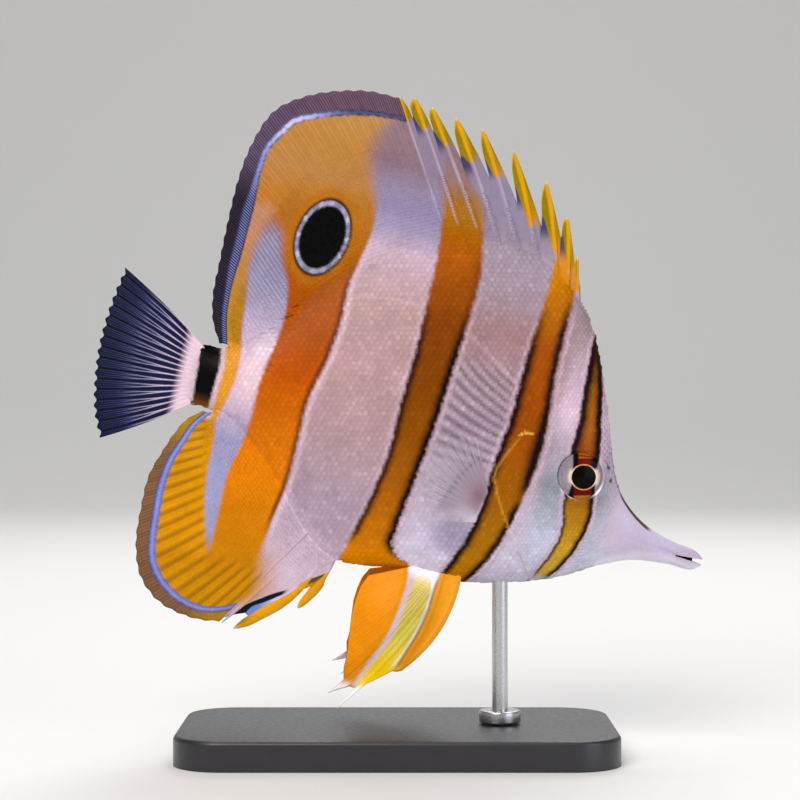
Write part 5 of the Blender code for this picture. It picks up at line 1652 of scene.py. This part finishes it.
def makePectoral(sideName, side, material):
    phase, share = raySpread(pectoralFin["rays"], pectoralFin["columnsPerRay"])
    roots = curveThrough(pectoralFin["root"])(share)
    low, high = pectoralFin["fanDeg"]
    turn = np.radians(low + share * (high - low))[:, None]
    out = math.tan(math.radians(pectoralFin["outDeg"]))
    length = heightAlong(pectoralFin["lengths"])(share) - 0.25 * (1 - np.cos(circle * phase))
    share = share[:, None]
    v = np.linspace(0, 1, pectoralFin["rows"])[None, :]
    reach = v * (length[:, None] + pectoralFin["sink"]) - pectoralFin["sink"]
    lift = reach * out * (0.75 + 0.25 * v)
    y = flankY(roots[:, 0], roots[:, 1])[:, None]
    x, z = roots[:, :1] - reach * np.cos(turn), roots[:, 1:] - reach * np.sin(turn)
    grid = np.stack([x, side * (y - 0.3 + lift), z], axis=2)
    ridges = rayRidges(grid, phase, 0.2, (0.35, 0.65), 0.18) * rise(5.0, 10.0, reach)
    half = webThickness(grid, 0.6, 0.07) + 0.12 * ridges * (1 - 0.5 * v)
    # pink flesh over the first half, a white painted highlight at its lower edge, then clear web between pale
    # rays
    flesh = 1 - rise(8.0, 10.5, reach - 3.5 * share * rise(0.6, 1.0, share))
    fleshAndPaintedHighlight = layAll(
        plain(reach, "#b5a2b1"),
        ("#a07c8a", bell(reach, 2.5, 2.5) * bell(share, 0.35, 0.25)),
        ("#f6effb", 0.85 * rise(0.6, 0.95, share) * (1 - rise(3.0, 8.5, reach))),
    )
    colour = layAll(
        plain(reach, "#a498a8"),
        ("#e6dde8", ridges),
        (fleshAndPaintedHighlight, flesh),
        (fishColours(x, z), 1 - rise(0.4, 1.4, reach)),
    )
    solid = np.clip(0.05 + 0.5 * ridges * (1 - 0.5 * v) + 0.8 * flesh + (1 - rise(0.6, 1.2, reach)), 0, 1)
    solid = solid * (1 - 0.9 * rise(0.66, 0.96, share) * rise(0.6, 4.5, reach))
    name, node = "pectoralFin" + sideName, "pectoral_fin_" + sideName.lower()
    mesh = finSheet(name, grid, half, colour, solid, normalsOf(grid))
    newPiece(name, mesh, material, (node,))


def makeFinScales(name, grid, half, reach, material, tipClear, bare=None):
    # small scales on a rear fin, up to a share of its height, smaller outward
    lengths = rowLengths(grid)
    columns, rows = grid.shape[:2]
    index = np.arange(columns)
    found = []
    distance = 0.7
    while True:
        v = distance / np.maximum(lengths[:, -1], 1e-6)
        good = (v < reach) & (distance < lengths[:, -1] - tipClear)
        if not good.any():
            break
        r = np.clip(v * (rows - 1), 0, rows - 1.001)
        low = np.floor(r).astype(int)
        t = (r - low)[:, None]
        line = grid[index, low] * (1 - t) + grid[index, low + 1] * t
        thick = half[index, low] * (1 - t[:, 0]) + half[index, low + 1] * t[:, 0]
        outward = grid[index, np.minimum(low + 2, rows - 1)] - grid[index, np.maximum(low - 1, 0)]
        run = runAlong(line)
        size = scaleForm["finPitch"] * (1 - 0.42 * min(1.0, distance / 14.0))
        s = np.arange(0.6 + (len(found) % 2) * size / 2, run[-1] - 0.4, size)
        s = s[np.interp(s, run, good.astype(float)) > 0.99]
        # each scale's place, outward direction, the fin's half thickness, its size and its map
        values = np.c_[line, outward, thick, np.full(columns, size), np.linspace(0, 1, columns), v]
        found.append(np.stack([np.interp(s, run, value) for value in values.T], axis=1))
        distance += size * 0.9
    found = np.concatenate(found)
    kept = ocellusRadius(found[:, 0], found[:, 2]) > 0.96
    if bare:
        kept &= ~bare(found[:, 0], found[:, 2])
    places, tangents, halves, sizes, uvs = np.split(found[kept], (3, 6, 7, 8), axis=1)
    tangents = unit(unit(tangents) - (0.35, 0, 0))
    for side, sideName in sides:
        normals = np.broadcast_to((0.0, side, 0.0), places.shape)
        moved = places + normals * (halves - 0.03)
        joinScales(name + sideName, moved, normals, tangents, sizes[:, 0], uvs, material)
    print(name, len(places), "scales on one side")


# Eyes

eyePaint = {
    # offsets from the eye's middle, level and plumb, in mm
    "pupil": (0.55, -0.3), "pupilRadius": (2.95, 2.82),
}


def eyeColours(ex, ez):
    # the painted iris: grey-lavender, with the eye band running through it
    radius = np.hypot(ex, ez)
    rearEdge, frontEdge = -2.0 + 0.02 * (ez - 3), 4.05 + 0.2 * (ez - 3)
    over = rise(-0.2, 0.2, ex - rearEdge) * rise(0.2, -0.2, ex - frontEdge) * rise(-0.6, 0.4, ez)
    orange = rise(-0.3, 0.3, ex + 0.6) * rise(0.3, -0.3, ex - 2.8) * rise(3.9, 4.3, ez)
    red = rise(-0.5, 0.4, ex + 0.6) * rise(0.5, -0.2, ex - 2.2) * rise(4.2, 3.7, ez)
    rearEdge, frontEdge = -3.1 + 0.35 * (ez + 4.2), 3.25
    under = rise(-0.2, 0.2, ex - rearEdge) * rise(0.2, -0.2, ex - frontEdge) * rise(-1.6, -2.2, ez)
    px, pz = ex - eyePaint["pupil"][0], ez - eyePaint["pupil"][1]
    pupil = np.hypot(px / eyePaint["pupilRadius"][0], pz / eyePaint["pupilRadius"][1])
    side = np.abs(px) / np.maximum(np.hypot(px, pz), 1e-6)
    cream = (1 - rise(1.15, 1.42, pupil)) * rise(0.76, 0.93, side)
    cream = cream * np.where(px < 0, rise(-2.2, -1.2, ez) * rise(2.9, 2.0, ez), 1.0)
    return layAll(
        plain(ex, "#978d96"),
        ("#857b88", 0.5 * rise(-0.5, 2.5, ez)),
        ("#6f6673", 0.35 * bell(radius, 4.7, 0.4)),
        # band over the pupil: black, orange with pale folds, dark red
        ("#0c0406", over),
        ("#a8560c", over * orange),
        ("#3a1404", 0.8 * over * orange * bell(ez + 0.12 * ex, 4.75, 0.2)),
        ("#6a0503", over * red),
        # band under the pupil: black, dark red, then yellow
        ("#0d0405", under),
        ("#5c0603", under * rise(-0.3, 0.5, ex + 1.8) * rise(2.7, 2.1, ex) * rise(-5.0, -4.6, ez)),
        ("#b5701c", under * rise(-0.3, 0.3, ex + 1.7) * rise(2.5, 2.0, ex) * rise(-4.5, -4.8, ez)),
        # cream patches before and behind the pupil, its ring, the pupil, and painted shade round the eye's
        # edge
        ("#decbb4", cream),
        (lay(plain(ex, "#d08f64"), "#e8d2b8", rise(0.6, 0.95, side)), 1 - rise(1.08, 1.12, pupil)),
        ("#010101", 1 - rise(0.985, 1.01, pupil)),
        ("#7d7280", rise(5.3, 5.6, radius) * 0.4),
    )


def offsetFromEye(points):
    # how far places lie from the eye's middle, level and plumb
    return turned(points[:, 0] - head["eye"][0], points[:, 2] - head["eye"][1], pitchTurn)


def spunMesh(name, profile, side, colours, steps=128):
    # a profile of (radius, y) spun about y, then put in place in the fish's frame
    turn = Matrix.Rotation(math.radians(-head["eyeForwardDeg"]), 4, "Z")
    lift = Matrix.Rotation(math.radians(head["eyeUpDeg"]), 4, "X")
    place = Matrix.Translation(Vector((head["eye"][0], head["eyeFaceY"], head["eye"][1])))
    matrix = Matrix.Diagonal((1, side, 1, 1)) @ place @ turn @ lift
    bm = bmesh.new()
    verts, edges = chainOf(bm, [(r, y, 0) for r, y in profile])
    bmesh.ops.spin(
        bm, geom=verts + edges, cent=(0, 0, 0), axis=(0, 1, 0), angle=math.tau, steps=steps, use_merge=True,
    )
    bmesh.ops.remove_doubles(bm, verts=bm.verts, dist=0.001)
    bmesh.ops.transform(bm, matrix=matrix, verts=bm.verts)
    return placedMesh(name, bm, lambda points: (points, {"markings": colours(points)}))


def makeEye(sideName, side, material):
    radius, dome = head["eyeRadius"], head["eyeDome"]
    front = [(radius * math.sin(a), dome * (math.cos(a) - 1)) for a in np.linspace(0.0, math.pi / 2, 72)]
    back = [(radius * math.cos(a), -dome - 4.0 * math.sin(a)) for a in np.linspace(0.1, math.pi / 2, 10)]
    mesh = spunMesh("eye" + sideName, front + back, side, lambda points: eyeColours(*offsetFromEye(points)))
    newPiece("eye" + sideName, mesh, material, ("eye_" + sideName.lower(),))


def makeEyeRim(sideName, side, material):
    # the soft fold of skin that holds the eye
    profile = [
        (head["eyeRadius"] + 0.14 + 0.34 * math.cos(a), -1.35 + 0.42 * math.sin(a))
        for a in np.linspace(-math.pi, math.pi, 21)
    ]

    def colours(points):
        ex, ez = offsetFromEye(points)
        radius, angle = np.hypot(ex, ez), np.degrees(np.arctan2(ez, ex))
        return layAll(
            fishColours(points[:, 0], points[:, 2]),
            # painted highlights on two arcs low on the rim, and painted shade on its rear side
            ("#fffaff", (bell(angle, -138, 22) + bell(angle, -42, 16)) * rise(6.0, 5.8, radius)),
            ("#4a3f4c", 0.7 * bell(np.abs(angle), 172, 26) * rise(5.9, 5.75, radius)),
        )

    mesh = spunMesh("eyeRim" + sideName, profile, side, colours, 96)
    newPiece("eyeRim" + sideName, mesh, material, ())


# Stand

stand = {
    "length": 104.0, "depth": 58.0, "thick": 7.0, "corner": 12.0, "chamfer": 1.0, "rodX": 24.6,
    # radius, foot, top and bevel of what stands on the base
    "rod": (1.9, 3.2, 42.2, 0.0), "collar": (5.0, 7.3, 10.3, 0.5), "sharpDeg": 40,
}


def bevelEdges(bm, edges, width, segments):
    bmesh.ops.bevel(
        bm, geom=edges, offset=width * mm, segments=segments, profile=0.5, affect="EDGES", material=-1,
    )


def makeStand():
    lacquer, steel = baseMaterial(), rodMaterial()
    bm = bmesh.new()
    bmesh.ops.create_cube(bm, size=1.0)
    bmesh.ops.scale(bm, vec=(stand["length"] * mm, stand["depth"] * mm, stand["thick"] * mm), verts=bm.verts)
    bmesh.ops.translate(bm, vec=(0, 0, stand["thick"] / 2 * mm), verts=bm.verts)
    corners = [e for e in bm.edges if abs(e.verts[0].co.z - e.verts[1].co.z) > 0.001]
    bevelEdges(bm, corners, stand["corner"], 16)
    rims = [e for e in bm.edges if min(v.co.z for v in e.verts) > (stand["thick"] - 0.1) * mm]
    bevelEdges(bm, rims, stand["chamfer"], 5)
    mesh = meshFrom("standBase", bm, stand["sharpDeg"])
    newPiece("standBase", mesh, lacquer, ("stand_base",))
    for name, node, (radius, low, high, bevel) in (
        ("standRod", "stand_rod", stand["rod"]), ("standCollar", "stand_collar", stand["collar"]),
    ):
        bm = bmesh.new()
        height = (high - low) * mm
        bmesh.ops.create_cone(
            bm, cap_ends=True, segments=64, radius1=radius * mm, radius2=radius * mm, depth=height,
        )
        bmesh.ops.translate(bm, verts=bm.verts, vec=(stand["rodX"] * mm, 0, low * mm + height / 2))
        if bevel:
            rims = [e for e in bm.edges if abs(e.verts[0].co.z - e.verts[1].co.z) < 1e-6]
            bevelEdges(bm, rims, bevel, 4)
        newPiece(name, meshFrom(name, bm, stand["sharpDeg"]), steel, (node,))


# Stage, light and camera

studio = {
    "floor": "#dedddb", "cameraX": 0.00065, "cameraZ": 0.08457, "cameraAway": 0.533, "lens": 100.0,
    "lights": [
        # name, place, size, watts, colour
        ("key", (-0.35, -0.75, 0.75), 0.55, 7.8, "#fffaf4"),
        ("fill", (0.75, -0.6, 0.30), 0.6, 2.6, "#f2f4ff"),
        ("rim", (0.1, 0.7, 0.8), 0.6, 4.0, "#ffffff"),
        ("wall", (0.0, 0.5, 1.8), 1.4, 16.0, "#ffffff"),
    ],
    "world": "#dfe2e8", "worldStrength": 0.36,
}


def makeStage():
    bm = bmesh.new()
    profile = [(-3.0, 0.0), (1.2, 0.0)]
    profile += [(1.2 + 0.5 * math.sin(a), 0.5 - 0.5 * math.cos(a)) for a in np.linspace(0.1, math.pi / 2, 14)]
    profile += [(1.7, 3.0)]
    _, edges = chainOf(bm, [(-4.0, y, z) for y, z in profile])
    swept = bmesh.ops.extrude_edge_only(bm, edges=edges)["geom"]
    bmesh.ops.translate(bm, verts=vertsOf(swept), vec=(8.0, 0, 0))
    bmesh.ops.recalc_face_normals(bm, faces=bm.faces)
    mesh = meshFrom("floor", bm)
    floor = addObject("floor", mesh)
    material = startMaterial("paleStudioPaper", {
        "Base Color": (*linear(studio["floor"]), 1), "Roughness": 0.85,
    })[0]
    mesh.materials.append(material)
    world = bpy.data.worlds.new("studio")
    world.use_nodes = True
    sky = world.node_tree.nodes["Background"].inputs
    sky["Color"].default_value = (*linear(studio["world"]), 1)
    sky["Strength"].default_value = studio["worldStrength"]
    bpy.context.scene.world = world
    middle = Vector((0.0, 0.0, 0.085))
    for name, place, size, watts, colour in studio["lights"]:
        lamp = bpy.data.lights.new(name, "AREA")
        lamp.energy = watts
        lamp.size = size
        lamp.color = linear(colour)
        holder = addObject(name, lamp)
        holder.location = place
        holder.rotation_euler = (middle - Vector(place)).to_track_quat("-Z", "Y").to_euler()
    lens = bpy.data.cameras.new("camera")
    lens.lens = studio["lens"]
    lens.sensor_width = 36.0
    lens.clip_start = 0.01
    camera = addObject("camera", lens)
    camera.location = (studio["cameraX"], -studio["cameraAway"], studio["cameraZ"])
    camera.rotation_euler = (math.pi / 2, 0, 0)
    bpy.context.scene.camera = camera
    bpy.context.scene.view_settings.view_transform = "Standard"


# Everything in order

makeStage()
print("stage, light and camera ready")
skinPaint = fishMaterial("lacqueredCastSkin", 0.05, 0.08, 0.05)
scalePaint = fishMaterial("pearlyCastScales", 0.05, 0.03, 0.03)
finPaint = fishMaterial("lacqueredFinWeb", 0.05, 0.03, 0.05, True)
clearPaint = fishMaterial("clearFinFilm", 0.04, 0.06, 0.04, True)
makeSkin(skinPaint)
print("skin laid")
makeScales(scalePaint)
softBack = makeSoftFin("backFinSoft", "back_fin_soft", backFin, paintSoftBack, finPaint)
spinyBack = makeSpinyBack("backFinSpines", "back_fin_spines", finPaint)
softAnal = makeSoftFin("analFinSoft", "anal_fin_soft", analFin, paintSoftAnal, finPaint)
analWeb = makeAnalSpines("analFinSpines", "anal_fin_spines", finPaint)
makeTail("tailFin", "tail_fin", clearPaint)
print("middle fins made")
for side, sideName in sides:
    makePelvic(sideName, side, finPaint)
    makePectoral(sideName, side, clearPaint)
print("paired fins made")
makeFinScales("scalesBackFin", *softBack, 0.62, scalePaint, 5.0)
makeFinScales("scalesSpinyFin", *spinyBack, 0.5, scalePaint, 19.5)
makeFinScales("scalesAnalFin", *softAnal, 0.5, scalePaint, 5.5)
makeFinScales("scalesAnalFront", *analWeb, 0.9, scalePaint, 0.5, lambda x, z: beyondFlesh(x, z) > -0.7)
glassPaint = eyeMaterial()
for side, sideName in sides:
    makeEye(sideName, side, glassPaint)
    makeEyeRim(sideName, side, skinPaint)
print("eyes set")
makeStand()
print("stand made")
